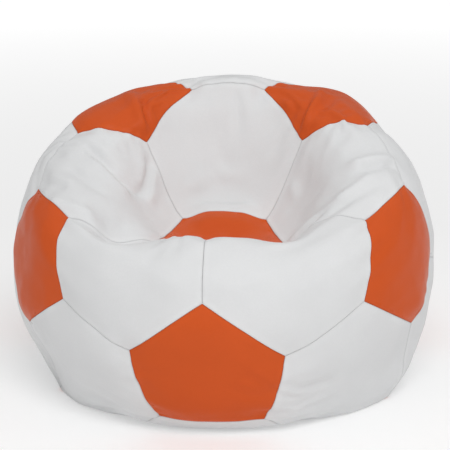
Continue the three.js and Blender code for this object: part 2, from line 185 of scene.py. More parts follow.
def unit(vectors):
    return vectors / np.linalg.norm(vectors, axis=-1, keepdims=True)


def between(start, end, share):
    return start * (1 - share) + end * share


def faded(distance, reach):
    """One at no distance, dying away smoothly with it."""
    return np.exp(-((distance / reach) ** 2))


def edges_of(triangles):
    """The three edges of every triangle, the way round that its corners go."""
    return np.concatenate([triangles[:, [0, 1]], triangles[:, [1, 2]], triangles[:, [2, 0]]])


class Net:
    """The lattice of all panels with a number of steps along each seam.

    A panel is a fan of sectors, one to each side. flat holds the points before the ball slumps.
    """

    def __init__(self, steps):
        self.steps = steps
        self.rows = np.concatenate([np.full(row + 1, row) for row in range(steps + 1)])
        self.places = np.concatenate([np.arange(row + 1) for row in range(steps + 1)])
        sides = [
            (panel, outline.mean(0), outline[side], outline[(side + 1) % len(outline)])
            for panel, outline in enumerate(PLAN.values())
            for side in range(len(outline))
        ]
        self.sector_panel = np.array([side[0] for side in sides])
        middles, starts, ends = (np.array([side[part] for side in sides])[:, None] for part in (1, 2, 3))
        to_start = ((self.rows - self.places) / steps)[None, :, None]
        to_end = (self.places / steps)[None, :, None]
        lattice = (middles + (starts - middles) * to_start + (ends - middles) * to_end).reshape(-1, 3)
        hundredths = np.round(lattice * 100).astype(np.int64)
        _, first, inverse = np.unique(hundredths, axis=0, return_index=True, return_inverse=True)
        self.flat = lattice[first]
        self.ids = inverse.reshape(len(sides), -1)
        self.pattern = lattice_triangles(steps)
        self.triangles = self.ids[:, self.pattern].reshape(-1, 3)
        self.find_links()

    def find_links(self):
        """Each point's neighbours, padded to the same number with the point itself at weight zero."""
        pairs = edges_of(self.triangles)
        pairs = np.unique(np.concatenate([pairs, pairs[:, ::-1]]), axis=0)
        counts = np.bincount(pairs[:, 0], minlength=len(self.flat))
        starts = np.concatenate([[0], np.cumsum(counts)[:-1]])
        slots = np.arange(len(pairs)) - starts[pairs[:, 0]]
        self.links = np.tile(np.arange(len(self.flat))[:, None], (1, counts.max()))
        self.linked = np.zeros(self.links.shape)
        self.links[pairs[:, 0], slots] = pairs[:, 1]
        self.linked[pairs[:, 0], slots] = 1.0
        self.degree = counts[:, None].astype(float)
        self.lengths = np.linalg.norm(self.flat[self.links] - self.flat[:, None], axis=2)

    def nearest(self, place):
        return int(np.argmin(np.linalg.norm(self.flat - place, axis=1)))

    def line(self, start, end):
        """The points of the seam between two panel corners, in order."""
        return [self.nearest(start + (end - start) * step / self.steps) for step in range(self.steps + 1)]

    def seam_distance(self):
        """How far each point lies from its panel's nearest seam, on the flat panel."""
        distance = np.full(len(self.flat), np.inf)
        for ids in self.ids:
            side = self.flat[ids[[lattice_index(self.steps, 0), lattice_index(self.steps, self.steps)]]]
            apothem = np.linalg.norm(side.mean(0) - self.flat[ids[0]])
            distance[ids] = np.minimum(distance[ids], apothem * (1 - self.rows / self.steps))
        return distance

    def doubled(self, *several_points):
        """The net with half the spacing, and these sets of points carried over to it."""
        finer = Net(self.steps * 2)
        low = lattice_index(finer.rows // 2, finer.places // 2)
        high = lattice_index((finer.rows + 1) // 2, (finer.places + 1) // 2)
        carried = []
        for points in several_points:
            halfway = np.empty_like(finer.flat)
            halfway[finer.ids] = (points[self.ids[:, low]] + points[self.ids[:, high]]) / 2
            carried.append(halfway)
        return finer, *carried

    def outward_areas(self, points):
        """Each point's share of the cloth round it, as an outward area, and the volume inside."""
        a, b, c = (points[self.triangles[:, corner]] for corner in range(3))
        share = np.cross(b - a, c - a) / 6
        areas = np.empty_like(points)
        for axis in range(3):
            column = np.tile(share[:, axis], 3)
            areas[:, axis] = np.bincount(self.triangles.T.ravel(), column, minlength=len(points))
        volume = np.einsum("ij,ij->", a, np.cross(b, c)) / 6
        return areas, volume

    def normals(self, points):
        return unit(self.outward_areas(points)[0])

    def off_mean(self, values):
        """How far the mean of each point's neighbours lies from it."""
        return (values[self.links] * self.linked[..., None]).sum(1) / self.degree - values

    def hold_lengths(self, points, lengths, squeeze):
        """One sweep that moves every point to bring its links back to their lengths."""
        arms = points[self.links] - points[:, None]
        now = np.sqrt(np.einsum("ijk,ijk->ij", arms, arms)) + TINY
        error = now - lengths
        pull = np.where(error > 0, 1.0, squeeze) * self.linked * error / now
        return points + np.einsum("ijk,ij->ik", arms, pull) * (PULL_SHARE / self.degree)

    def resist_bending(self, points, bending):
        return points - bending * self.off_mean(self.off_mean(points))


# --- the slump: the coarse net settles round its beads, as in the CAD model ---

COARSE_STEPS = 3
BALL_RADIUS = 2.478 * PANEL_EDGE  # to the corners of the panels
FULL_RADIUS = 0.985 * BALL_RADIUS  # of the round ball that a fill of one stands for
BALL_VOLUME = 4 / 3 * math.pi * FULL_RADIUS**3
BALL_AREA = 4 * math.pi * BALL_RADIUS**2
START_HEIGHT = 2.45 * PANEL_EDGE  # of the ball's middle above the floor
STEPS_TO_SETTLE = 400
STEPS_TO_SIT = 1000
FILL_BEFORE_SITTING = 0.92
FILL_AFTER_SITTING = 0.83
FILL_STIFFNESS = 10
CROWN_PUSH = 0.1  # the beads that the sitter displaces push out most near the top
CLOTH_WEIGHT = 0.028
DRAG = 0.06
SQUEEZE = 0.14  # how much the cloth resists being pushed together, against 1 for pulling
BENDING = 0.05
PULL_SWEEPS = 2
FLOOR_GRIP = 0.5
PRINT_RADII = np.array([286.0, 284.0, 310.0])  # of the ellipsoid that the sitter presses in
PRINT_FORWARD = 124.0  # how far in front of the middle it stays
SEAT_HEIGHT = 345.0  # the seat's lowest point above the floor
PRINT_DROP = 300.0  # the print starts this far above its place
DEEPEST_PRESS = 30.0  # that the print moves a point in one step
LEAST_SHARE = 1e-3  # of the print's radius, for a point at its middle
ZIP_SEAM = (panel_corner("rear_upper", "rear_lower"), panel_corner("rear_lower", "rear_upper"))


def press_print(points, lift):
    """Points inside the sitter's ellipsoid move out of it, square to its surface."""
    arms = points - np.array([0, -PRINT_FORWARD, SEAT_HEIGHT + PRINT_RADII[2] + lift])
    share = np.linalg.norm(arms / PRINT_RADII, axis=1)
    inside = share < 1
    arms, share = arms[inside], share[inside]
    depth = (1 - share) * np.linalg.norm(arms, axis=1) / np.maximum(share, LEAST_SHARE)
    points[inside] += unit(arms / PRINT_RADII**2) * np.minimum(depth, DEEPEST_PRESS)[:, None]


def rest_on_floor(points, before):
    """Points that would sink into the floor stay on it, and slide less."""
    under = points[:, 2] < 0
    points[under, :2] = before[under, :2] + FLOOR_GRIP * (points[under, :2] - before[under, :2])
    points[under, 2] = 0


def keep_straight(points, seam):
    """The zip's tape keeps its own seam straight."""
    share = np.linspace(0, 1, len(seam))[:, None]
    points[seam] = between(points[seam[0]], points[seam[-1]], share)


def slump(net, points, speeds, fill, steps, print_lift=None):
    """Lets the net settle for some steps, with its beads filling this share of the ball."""
    seam = net.line(*ZIP_SEAM)
    mean_area = BALL_AREA / len(points)
    for step in range(steps):
        areas, volume = net.outward_areas(points)
        push = FILL_STIFFNESS * (fill - volume / BALL_VOLUME)
        below_top = (points[:, 2].max() - points[:, 2]) / (2 * BALL_RADIUS)
        speeds = speeds + areas * ((push - CROWN_PUSH * below_top) / mean_area)[:, None]
        speeds[:, 2] -= CLOTH_WEIGHT
        speeds *= 1 - DRAG
        moved = points + speeds
        for _ in range(PULL_SWEEPS):
            moved = net.hold_lengths(moved, net.lengths, SQUEEZE)
        moved = net.resist_bending(moved, BENDING)
        if print_lift:
            press_print(moved, print_lift(step / steps))
        keep_straight(moved, seam)
        rest_on_floor(moved, points)
        speeds = moved - points
        points = moved
    return points, speeds


def falling_print(share):
    """The print's height above its place, which it reaches halfway through the steps."""
    return max(0, PRINT_DROP * (1 - 2 * share))


def slumped(net):
    """The net's points once the ball has slumped and the sitter has left the seat, standing on the floor."""
    points = net.flat + np.array([0, 0, START_HEIGHT])
    points, speeds = slump(net, points, np.zeros_like(points), FILL_BEFORE_SITTING, STEPS_TO_SETTLE)
    points, _ = slump(net, points, speeds, FILL_AFTER_SITTING, STEPS_TO_SIT, falling_print)
    low, high = points.min(0), points.max(0)
    return points - np.array([(low[0] + high[0]) / 2, (low[1] + high[1]) / 2, low[2]])


# --- the lie of the cover: it has crept a little to one side, and folds where cloth is spare ---

# How far some panel corners have crept from the even slump, to the right and up. A corner is named by the
# pentagon that it belongs to and the pentagon it points at. The others keep still.
CREEP = {
    "front": {
        "seat": (-16, 3), "side_left": (-11, -11), "side_right": (-4, -16), "base_left": (-13, -10),
        "base_right": (15, -9),
    },
    "seat": {
        "front": (-15, 31), "side_left": (13, -3), "side_right": (3, -3), "top_left": (6, 7),
        "top_right": (4, 4),
    },
    "side_left": {"seat": (-11, 8), "base_left": (-11, -10)},
    "side_right": {"seat": (14, 11), "front": (0, 8), "base_right": (13, 8), "top_right": (-1, 27)},
    "top_right": {"side_right": (-15, 20), "seat": (-1, 20)},
    "top_left": {"side_left": (3, -10), "seat": (-2, 11)},
    "base_right": {"side_right": (12, -22)},
    "base_left": {"side_left": (4, -20)},
}
CREEP_REACH = 95.0  # how far a corner's creep carries along the cloth

# Pushes on the cover, as (where, (to the right, back, up), reach). Where is a panel, or the middle of some
# of the panels' corners, in which a corner that comes more often counts for more. They bow the seams, round
# the shoulders and spread the foot of the bag.
SEAT_LEFT_RIM = ["side_left/seat", "seat/side_left"] * 4 + ["front/side_left", "front/seat"]
PUSHES = [
    (["top_left/side_left", "top_left/rear_left"], (-11, 0, 9), 85),
    (["top_right/rear_right", "top_right/rear_upper"], (8, 0, 26), 78),
    (["top_left/seat", "top_left/top_right"], (-21, 12, 9), 62),
    (["top_right/seat", "top_right/top_left"], (14, 10, 8), 62),
    (["top_left/side_left", "side_left/top_left"], (-12, 28, 0), 85),
    (["top_left/top_right"], (0, 14, 6), 60),
    (["top_right/top_left"], (0, 14, 6), 60),
    (["top_left/top_right", "top_right/top_left"], (0, 14, 18), 90),
    ("hexagon_crown", (0, 10, -20), 130),
    (["top_right/seat", "top_right/side_right"], (8, 0, 8), 50),
    (["side_left/seat", "side_left/front"], (-9, 0, 0), 55),
    (["seat/top_left", "seat/top_right"], (0, 4, 20), 62),
    (["seat/top_left"] * 3 + ["seat/top_right"], (0, 3, 20), 45),
    (["seat/top_right"] * 3 + ["seat/top_left"], (0, 3, 20), 45),
    (["side_left/seat", "seat/side_left"], (0, -36, -60), 50),
    (["seat/side_left"] * 5 + ["front/side_left"], (0, 0, -24), 45),
    (["seat/side_left", "seat/front"], (0, 0, -16), 45),
    (["seat/side_right"] * 5 + ["front/side_right"], (0, 0, -29), 50),
    (SEAT_LEFT_RIM, (0, -12, -32), 46),
    (["base_left/front", "base_left/side_left"], (-2, -16, -7), 110),
    (["base_right/front", "base_right/side_right"], (2, -16, -7), 110),
    (["side_right/base_right", "base_right/side_right", "base_right/side_right"], (19, -4, -2), 50),
    (["side_right/base_right", "base_right/side_right"], (0, 36, 0), 85),
    (["side_left/base_left", "base_left/side_left"], (13, 30, 0), 85),
]

# Each panel's folds, as (line, height, half width). A line's points are to the right and up from the
# panel's middle, as seen from outside. A height below zero is a valley.
FOLDS = {
    "hexagon_seat_left": [
        ([(-134, 15), (-75, 19), (-9, 35), (28, 61)], -19, 12),
        ([(28, 61), (38, 94), (1, 137), (-34, 178)], -16, 11),
        ([(-35, 140), (-3, 124), (21, 91)], 9, 12),
        ([(-20, 178), (17, 144), (51, 114), (66, 84)], 10, 12),
        ([(-78, -10), (-20, -7), (22, 4), (52, 30)], 11, 18),
        ([(-101, -60), (-41, -64), (10, -66), (57, -60)], -10, 13),
        ([(-126, -135), (-60, -128), (-9, -120)], -9, 10),
        ([(-120, -112), (-60, -102), (-10, -98)], 5, 13),
        ([(-168, -45), (-125, -50)], -6, 10),
        ([(-33, -170), (20, -162), (63, -150), (92, -110)], 8, 11),
        ([(84, -104), (110, -80), (130, -52)], -13, 17),
    ],
    "hexagon_seat_right": [
        ([(153, -82), (95, -64), (36, -24)], 14, 12),
        ([(148, -106), (88, -88), (24, -54)], -13, 9),
        ([(60, -100), (12, -94), (-36, -86), (-72, -76)], 10, 11),
        ([(48, -124), (-9, -118), (-80, -108), (-128, -117)], -11, 12),
        ([(-192, -34), (-143, -64), (-101, -78)], -10, 11),
        ([(-186, -12), (-138, -40), (-98, -50)], 9, 12),
        ([(-28, 152), (-52, 108)], 6, 13),
    ],
    "pentagon_seat": [
        ([(-85, 96), (-30, 104), (30, 104), (85, 96)], 8, 20),
    ],
    "pentagon_top_left": [
        ([(-34, -12), (5, 19), (39, 43), (91, 81), (110, 110)], 10, 15),
        ([(4, 58), (44, 76), (92, 100)], -7, 10),
    ],
    "pentagon_top_right": [
        ([(66, -20), (34, 10), (-26, 34), (-61, 58), (-95, 83), (-113, 108)], 11, 9),
        ([(4, -14), (-44, 8), (-80, 44)], -5, 15),
        ([(11, 125), (-10, 122), (-31, 123)], 5, 8),
    ],
    "hexagon_backrest": [
        ([(22, 153), (30, 114), (37, 69)], -6, 13),
        ([(81, 166), (85, 118)], -5, 10),
        ([(-106, 150), (-98, 120)], -6, 9),
        ([(-92, -105), (-62, -60), (-1, -39), (73, -64)], 5, 22),
        ([(-104, 176), (-40, 178), (40, 178), (104, 176)], 12, 26),
    ],
    "hexagon_crown": [
        ([(-110, -96), (0, -92), (110, -96)], -11, 42),
        ([(-20, -160), (-10, -100), (10, -40)], -6, 22),
    ],
    "hexagon_front_left": [
        ([(-119, 47), (-39, 30), (10, 12), (86, -28), (150, -66)], 8, 26),
    ],
    "hexagon_front_right": [
        ([(-88, 25), (-7, 44), (49, 67), (97, 84)], -5, 14),
    ],
    "hexagon_lower_left": [
        ([(-125, 140), (-75, 92)], -4, 7),
        ([(-98, 146), (-52, 100)], -4, 7),
        ([(-60, -92), (0, -108), (72, -84)], -4, 11),
    ],
    "hexagon_lower_right": [
        ([(-128, 16), (-82, 24), (-40, 26)], -4, 11),
        ([(120, -20), (150, 40)], -4, 8),
    ],
}
FOLD_POINTS = 40  # along each fold's curve
FOLD_TAPER = 0.22  # share of a fold's length over which each end dies away
FOLD_END = 0.2  # share of its height that is left at its ends
FOLD_FIELD = 1.6 * PANEL_EDGE  # a fold raises only the points this near its panel's middle

SEAM_SINK = 5.0  # the seams pull in below the panels' middles
SEAM_SINK_REACH = 30.0
CORNER_SINK = 7.0  # further, where three panels meet
CORNER_SINK_REACH = 34.0
SEAT_SWELL = 20.0  # the seat's pentagon bulges between the sitter's thighs
SEAT_SWELL_REACH = 120.0
SWELL_HEIGHT = 2.2  # of the beads' own unevenness
SWELL_SIZE = 170.0
SWELL_WAVES = 60
SWELL_SPREAD = (0.7, 1.3)  # the waves' sizes vary by this
PUCKER_HEIGHT = 0.7  # of the small puckers that the thread pulls up along the seams
PUCKER_SIZE = 36.0
PUCKER_REACH = 22.0
LIE_FLAT_BELOW = 60.0  # nearer the floor than this, the relief dies away
ZIP_STIFF_REACH = 50.0  # round the zip it does too

# The folded nets, each with half the spacing of the one before: the number of steps, the unevenness that
# the cloth starts with and how much it resists bending.
LEVELS = [(120, 1.5, 0.1), (60, 0.0, 0.07)]
SMOOTHINGS = 3
SMOOTH_IN = 0.5
SMOOTH_OUT = 0.53
BEADS_SEED = 3
CLOTH_SEED = 7
SLACK = 1.04  # the cloth that has settled is stretched a little, so its rest length is longer
FOLD_DRAG = 0.1
FOLD_SQUEEZE = 0.5
BEAD_GIVE = 1.6  # how deep the cloth can sink into the beads
SETTLE_BACK = 0.06
STAY_IN_PLACE = 0.02


def crept(net, points):
    """Moves the crept corners, and the cloth between them smoothly with them."""
    sites = np.array([panel_corner(*pair) for pair in CORNER_PAIRS])
    moves = np.zeros((len(sites), 3))
    for pentagon, corners in CREEP.items():
        for neighbour, (right, up) in corners.items():
            moves[CORNER_PAIRS.index((pentagon, neighbour))] = right, 0, up

    def reach(places):
        apart = np.linalg.norm(places[:, None] - sites[None], axis=2)
        return np.exp(-((apart / CREEP_REACH) ** 2) / 2)

    return points + reach(net.flat) @ np.linalg.solve(reach(sites), moves)


def place_of(where):
    """A panel's middle on the flat ball, or the middle of some panel corners."""
    if isinstance(where, str):
        return PLAN[where].mean(0)
    return np.mean([panel_corner(*corner.split("/")) for corner in where], axis=0)


def pushed(net, points):
    """Pushes the cover at each of its places, and less all round them."""
    for where, push, reach in PUSHES:
        apart = np.linalg.norm(net.flat - place_of(where), axis=1)
        points = points + faded(apart, reach)[:, None] * np.array(push)
    return points


def panel_axes(panel):
    """A flat panel's middle, and its right and up as seen from outside."""
    middle = PLAN[panel].mean(0)
    outward = unit(middle)
    right = unit(np.cross([0, 0, 1.0], outward))
    return middle, right, np.cross(outward, right)


def smooth_line(corners, count):
    """Points along a Catmull-Rom curve through the corners."""
    corners = np.array(corners, float)
    ends = 2 * corners[0] - corners[1], 2 * corners[-1] - corners[-2]
    through = np.vstack([ends[0], corners, ends[1]])
    spans = len(corners) - 1
    places = np.linspace(0, spans, count)
    spans_at = np.minimum(places.astype(int), spans - 1)
    share = (places - spans_at)[:, None]
    a, b, c, d = (through[spans_at + offset] for offset in range(4))
    cubic = -a + 3 * b - 3 * c + d
    square = 2 * a - 5 * b + 4 * c - d
    return b + 0.5 * share * (c - a + share * (square + share * cubic))


def fold_relief(net):
    """How high the folds raise each point. Their ends taper off smoothly."""
    relief = np.zeros(len(net.flat))
    for panel, folds in FOLDS.items():
        middle, right, up = panel_axes(panel)
        near = np.flatnonzero(np.linalg.norm(net.flat - middle, axis=1) < FOLD_FIELD)
        for corners, height, half_width in folds:
            line = smooth_line(corners, FOLD_POINTS)
            line = middle + line[:, :1] * right + line[:, 1:] * up
            apart = np.linalg.norm(net.flat[near][:, None] - line[None], axis=2)
            along = apart.argmin(1) / (FOLD_POINTS - 1)
            ends = np.clip(along / FOLD_TAPER, 0, 1) * np.clip((1 - along) / FOLD_TAPER, 0, 1)
            ends = FOLD_END + (1 - FOLD_END) * ends**2 * (3 - 2 * ends)
            relief[near] += height * ends * faded(apart.min(1), half_width)
    return relief


def swell(net, rng, size):
    """Smooth random unevenness over the flat ball, about one high."""
    total = np.zeros(len(net.flat))
    for _ in range(SWELL_WAVES):
        way = unit(rng.normal(0, 1, 3)) * 2 * math.pi / size * rng.uniform(*SWELL_SPREAD)
        total += np.cos(net.flat @ way + rng.uniform(0, 2 * math.pi))
    return total / math.sqrt(SWELL_WAVES / 2)


def along_zip(net):
    """How far down the zip's seam each point of the flat ball is, as a share from its top to its foot."""
    top, foot = ZIP_SEAM
    run = foot - top
    return np.clip((net.flat - top) @ run / (run @ run), 0, 1)


def near_zip(net):
    """One on the zip's seam, and dying away smoothly with the distance from it."""
    top, foot = ZIP_SEAM
    away = np.linalg.norm(net.flat - top - along_zip(net)[:, None] * (foot - top), axis=1)
    return faded(away, ZIP_STIFF_REACH)


def with_relief(net, base):
    """The beads' surface: the smooth slump with its sunken seams, folds and unevenness."""
    rng = np.random.default_rng(BEADS_SEED)
    from_seam = net.seam_distance()
    corners = np.array([panel_corner(*pair) for pair in CORNER_PAIRS])
    from_corner = np.linalg.norm(net.flat[:, None] - corners[None], axis=2).min(1)
    seat = PLAN["pentagon_seat"].mean(0)
    from_seat = np.linalg.norm(net.flat - seat, axis=1)
    relief = fold_relief(net)
    relief -= SEAM_SINK * np.exp(-from_seam / SEAM_SINK_REACH)
    relief -= CORNER_SINK * faded(from_corner, CORNER_SINK_REACH)
    relief += SEAT_SWELL * np.exp(-((from_seat / SEAT_SWELL_REACH) ** 4))
    relief += SWELL_HEIGHT * swell(net, rng, SWELL_SIZE)
    relief += PUCKER_HEIGHT * swell(net, rng, PUCKER_SIZE) * np.exp(-from_seam / PUCKER_REACH)
    relief *= np.clip(base[:, 2] / LIE_FLAT_BELOW, 0, 1)
    relief *= 1 - near_zip(net)
    shaped = base + net.normals(base) * relief[:, None]
    shaped[:, 2] = np.maximum(shaped[:, 2], 0)
    return shaped


def smoothed(net, points):
    """Rounds off the facets of a coarser net without shrinking it."""
    for _ in range(SMOOTHINGS):
        points = points + SMOOTH_IN * net.off_mean(points)
        points = points - SMOOTH_OUT * net.off_mean(points)
    points[:, 2] = np.maximum(points[:, 2], 0)
    return points


def relaxed(net, points, beads, steps, bending):
    """The cloth pulls to its own lengths over the beads, which it can't sink into."""
    seam = net.line(*ZIP_SEAM)
    outward = net.normals(beads)
    lengths = net.lengths * SLACK
    speeds = np.zeros_like(points)
    for _ in range(steps):
        speeds = speeds * (1 - FOLD_DRAG)
        moved = points + speeds
        for _ in range(PULL_SWEEPS):
            moved = net.hold_lengths(moved, lengths, FOLD_SQUEEZE)
        moved = net.resist_bending(moved, bending)
        off = moved - beads
        height = np.einsum("ij,ij->i", off, outward)
        sideways = off - outward * height[:, None]
        lift = np.maximum(-BEAD_GIVE - height, 0) - SETTLE_BACK * np.maximum(height, 0)
        moved = moved + outward * lift[:, None] - sideways * STAY_IN_PLACE
        keep_straight(moved, seam)
        rest_on_floor(moved, points)
        speeds = moved - points
        points = moved
    return points


def hung_on_zip(net, points, zip_ends):
    """Brings the zip's seam back to the line where the CAD model has it, and the cloth near it along."""
    seam = net.line(*ZIP_SEAM)
    share = np.linspace(0, 1, len(seam))[:, None]
    moves = between(zip_ends[0], zip_ends[1], share) - points[seam]
    at = np.round(along_zip(net) * (len(seam) - 1)).astype(int)
    return points + moves[at] * near_zip(net)[:, None]


def folded_cover():
    """The finest net, the points of the settled cover, and the two ends of the zip's seam."""
    rng = np.random.default_rng(CLOTH_SEED)
    net = Net(COARSE_STEPS)
    slump_points = slumped(net)
    zip_ends = slump_points[net.line(*ZIP_SEAM)][[0, -1]]
    net, base = net.doubled(slump_points)
    base = points = pushed(net, crept(net, base))
    for level, (steps, unevenness, bending) in enumerate(LEVELS):
        net, base, points = net.doubled(base, points)
        base = smoothed(net, base)
        beads = with_relief(net, base)
        if level == 0:
            points = beads
        points = points + net.normals(beads) * rng.normal(0, 1, len(points))[:, None] * unevenness
        points = relaxed(net, points, beads, steps, bending)
    return net, hung_on_zip(net, points, zip_ends), zip_ends


# --- materials ---

PUCKER_PITCH = 0.0045  # in metres, from one stitch's pucker along a seam to the next


class Finish:
    """A Principled material with short ways to add nodes. Lengths are in metres."""

    def __init__(self, name, colour, roughness, metallic=0.0):
        self.material = bpy.data.materials.new(name)
        self.material.use_nodes = True
        self.tree = self.material.node_tree
        self.surface = self.tree.nodes["Principled BSDF"]
        self.base = colour
        self.set("Base Color", (*colour, 1))
        self.set("Roughness", roughness)
        self.set("Metallic", metallic)
        self.place = self.node("ShaderNodeTexCoord").outputs["Object"]
        self.normal = None

    def set(self, socket, value):
        """Gives the whole surface one value."""
        self.surface.inputs[socket].default_value = value

    def vary(self, socket, output):
        """Takes the value from a node's output."""
        self.tree.links.new(output, self.surface.inputs[socket])

    def node(self, kind, inputs=None, **settings):
        """A new node. Its inputs are given by name or number, as values or as other nodes' outputs."""
        node = self.tree.nodes.new(kind)
        for setting, value in settings.items():
            setattr(node, setting, value)
        for socket, value in (inputs or {}).items():
            if isinstance(value, bpy.types.NodeSocket):
                self.tree.links.new(value, node.inputs[socket])
            else:
                node.inputs[socket].default_value = value
        return node

    def noise(self, size, detail=2.0, distortion=0.0):
        """Smooth noise from 0 to 1 with lumps of about this size."""
        inputs = {"Vector": self.place, "Scale": 1 / size, "Detail": detail, "Distortion": distortion}
        return self.node("ShaderNodeTexNoise", inputs).outputs["Fac"]

    def cells(self, size, feature="F1"):
        """The distance inside cells of about this size, from their middles or their edges."""
        inputs = {"Vector": self.place, "Scale": 1 / size}
        return self.node("ShaderNodeTexVoronoi", inputs, feature=feature).outputs["Distance"]

    def bands(self, size, direction):
        """Slightly wavy bands from 0 to 1, this far apart."""
        inputs = {"Vector": self.place, "Scale": math.pi / (10 * size), "Distortion": 0.4}
        return self.node("ShaderNodeTexWave", inputs, bands_direction=direction).outputs["Fac"]

    def attribute(self, name):
        return self.node("ShaderNodeAttribute", attribute_name=name).outputs["Fac"]

    def ramp(self, value, low, high, to_low, to_high):
        """The value, with low to high stretched over to_low to to_high."""
        inputs = {0: value, 1: low, 2: high, 3: to_low, 4: to_high}
        return self.node("ShaderNodeMapRange", inputs).outputs[0]

    def sum(self, *values, operation="ADD"):
        total = values[0]
        for value in values[1:]:
            total = self.node("ShaderNodeMath", {0: total, 1: value}, operation=operation).outputs[0]
        return total

    def product(self, *values):
        return self.sum(*values, operation="MULTIPLY")

    def spread(self, noise, low, high):
        """Noise, with its usual range stretched over low to high."""
        return self.ramp(noise, 0.3, 0.7, low, high)

    def mixed(self, share, one, other):
        inputs = {0: share, 6: one, 7: other}
        return self.node("ShaderNodeMix", inputs, data_type="RGBA").outputs[2]

    def tint(self, brightness):
        """The base colour, made darker or lighter."""
        return (*(min(1, channel * brightness) for channel in self.base), 1)

    def shades(self, share, low, high):
        """The base colour from one brightness to another."""
        return self.mixed(share, self.tint(low), self.tint(high))

    def colour(self, output):
        self.vary("Base Color", output)

    def roughness(self, output):
        self.vary("Roughness", output)

    def raise_bumps(self, height, depth, strength=1.0):
        """Bumps depth high where height is 1, on top of those already there."""
        inputs = {"Height": height, "Distance": depth, "Strength": strength}
        if self.normal:
            inputs["Normal"] = self.normal
        self.normal = self.node("ShaderNodeBump", inputs).outputs["Normal"]
        self.vary("Normal", self.normal)


def leatherette(name, colour):
    """Coated cloth with a pebbled grain, rubbed smoother on the seams' lips, darker in them with dust and
    painted shade.
    """
    finish = Finish(name, colour, roughness=0.42)
    finish.set("Specular IOR Level", 0.06)
    finish.set("Coat Weight", 0.015)
    finish.set("Coat Roughness", 0.3)
    seam = finish.attribute("seam_distance")
    # Mask of the seam's groove, within 2 mm of its edge: dust there, and painted shade where the groove
    # would fall dark.
    seam_dust_and_shade = finish.ramp(seam, 0.0, 0.002, 1, 0)
    past_seam = finish.ramp(seam, 0.002, 0.005, 0, 1)
    on_lip = finish.product(past_seam, finish.ramp(seam, 0.006, 0.016, 1, 0))
    blotches = finish.noise(0.16, detail=4)
    mottle = finish.noise(0.004, detail=3)

    clean = finish.shades(finish.spread(blotches, 0, 1), 0.965, 1.025)
    clean = finish.mixed(finish.ramp(mottle, 0.35, 0.65, 0, 0.25), clean, finish.tint(0.93))
    rubbing = finish.product(on_lip, finish.ramp(blotches, 0.4, 0.6, 0.1, 0.5))
    rubbed = finish.mixed(rubbing, clean, finish.tint(1.06))
    # The groove is painted darker: partly dust, partly painted shade standing in for the shadow in the seam.
    finish.colour(finish.mixed(finish.product(seam_dust_and_shade, 0.35), rubbed, finish.tint(0.6)))

    dullness = finish.spread(finish.noise(0.03, detail=5), 0.3, 0.4)
    dullness = finish.sum(dullness, finish.product(on_lip, -0.05))
    finish.roughness(finish.sum(dullness, finish.product(seam_dust_and_shade, 0.2)))

    finish.raise_bumps(finish.noise(0.011, detail=4, distortion=0.6), 0.0006, strength=0.35)
    pebbles = finish.ramp(finish.cells(0.0016, "DISTANCE_TO_EDGE"), 0.0, 0.3, 0, 1)
    finish.raise_bumps(pebbles, 0.00009)
    finish.raise_bumps(finish.noise(0.0005, detail=2), 0.00003)
    turn = finish.product(finish.attribute("seam_run"), 2 * math.pi / PUCKER_PITCH)
    puckers = finish.node("ShaderNodeMath", {0: turn}, operation="SINE").outputs[0]
    finish.raise_bumps(finish.product(puckers, finish.ramp(seam, 0.001, 0.007, 1, 0)), 0.00025)
    return finish.material


def woven_cloth(name, colour, thread, roughness=0.85):
    """A plain weave: two sets of threads that pass over each other by turns."""
    finish = Finish(name, colour, roughness)
    finish.set("Sheen Weight", 0.25)
    warp = finish.bands(thread, "X")
    weft = finish.bands(thread, "Y")
    over = finish.sum(warp, weft, operation="MAXIMUM")
    stains = finish.noise(0.05, detail=4)
    shade = finish.shades(finish.spread(stains, 0, 1), 0.92, 1.04)
    # Painted shade: the gaps between the threads are darkened.
    finish.colour(finish.mixed(finish.ramp(over, 0.2, 0.9, 0.35, 0), shade, finish.tint(0.7)))
    finish.roughness(finish.spread(finish.noise(0.002), roughness - 0.06, roughness + 0.08))
    finish.raise_bumps(over, thread * 0.3)
    finish.raise_bumps(finish.noise(thread * 0.3), thread * 0.05)
    return finish.material


def foam_beads(name, colour, bead):
    """Expanded foam beads, each a round lump, with painted shade darkening it where it meets the next."""
    finish = Finish(name, colour, roughness=0.7)
    cells = finish.cells(bead)
    # Painted shade: each bead is darker towards its edge, where it meets the next.
    finish.colour(finish.shades(finish.ramp(cells, 0.3, 0.75, 0, 0.7), 1.02, 0.55))
    finish.roughness(finish.spread(finish.noise(bead * 0.2), 0.6, 0.8))
    finish.raise_bumps(finish.ramp(cells, 0, 0.7, 1, 0), bead * 0.5)
    finish.raise_bumps(finish.cells(bead * 0.15), bead * 0.02)
    return finish.material


def moulded_nylon(name, colour):
    """Slightly translucent nylon wire."""
    finish = Finish(name, colour, roughness=0.38)
    finish.set("Subsurface Weight", 0.1)
    finish.set("Subsurface Scale", 0.0005)
    finish.colour(finish.shades(finish.noise(0.01, detail=3), 0.94, 1.03))
    finish.roughness(finish.spread(finish.noise(0.001, detail=3), 0.3, 0.46))
    finish.raise_bumps(finish.noise(0.0004), 0.00001)
    return finish.material


def plated_metal(name, colour):
    """Nickel plate, tumbled smooth, with fine rubs."""
    finish = Finish(name, colour, roughness=0.3, metallic=1.0)
    rubs = finish.noise(0.0012, detail=5, distortion=2.0)
    finish.colour(finish.shades(finish.noise(0.006, detail=3), 0.86, 1.05))
    finish.roughness(finish.ramp(rubs, 0.35, 0.65, 0.2, 0.42))
    finish.raise_bumps(rubs, 0.00003)
    finish.raise_bumps(finish.noise(0.004), 0.00005)
    return finish.material


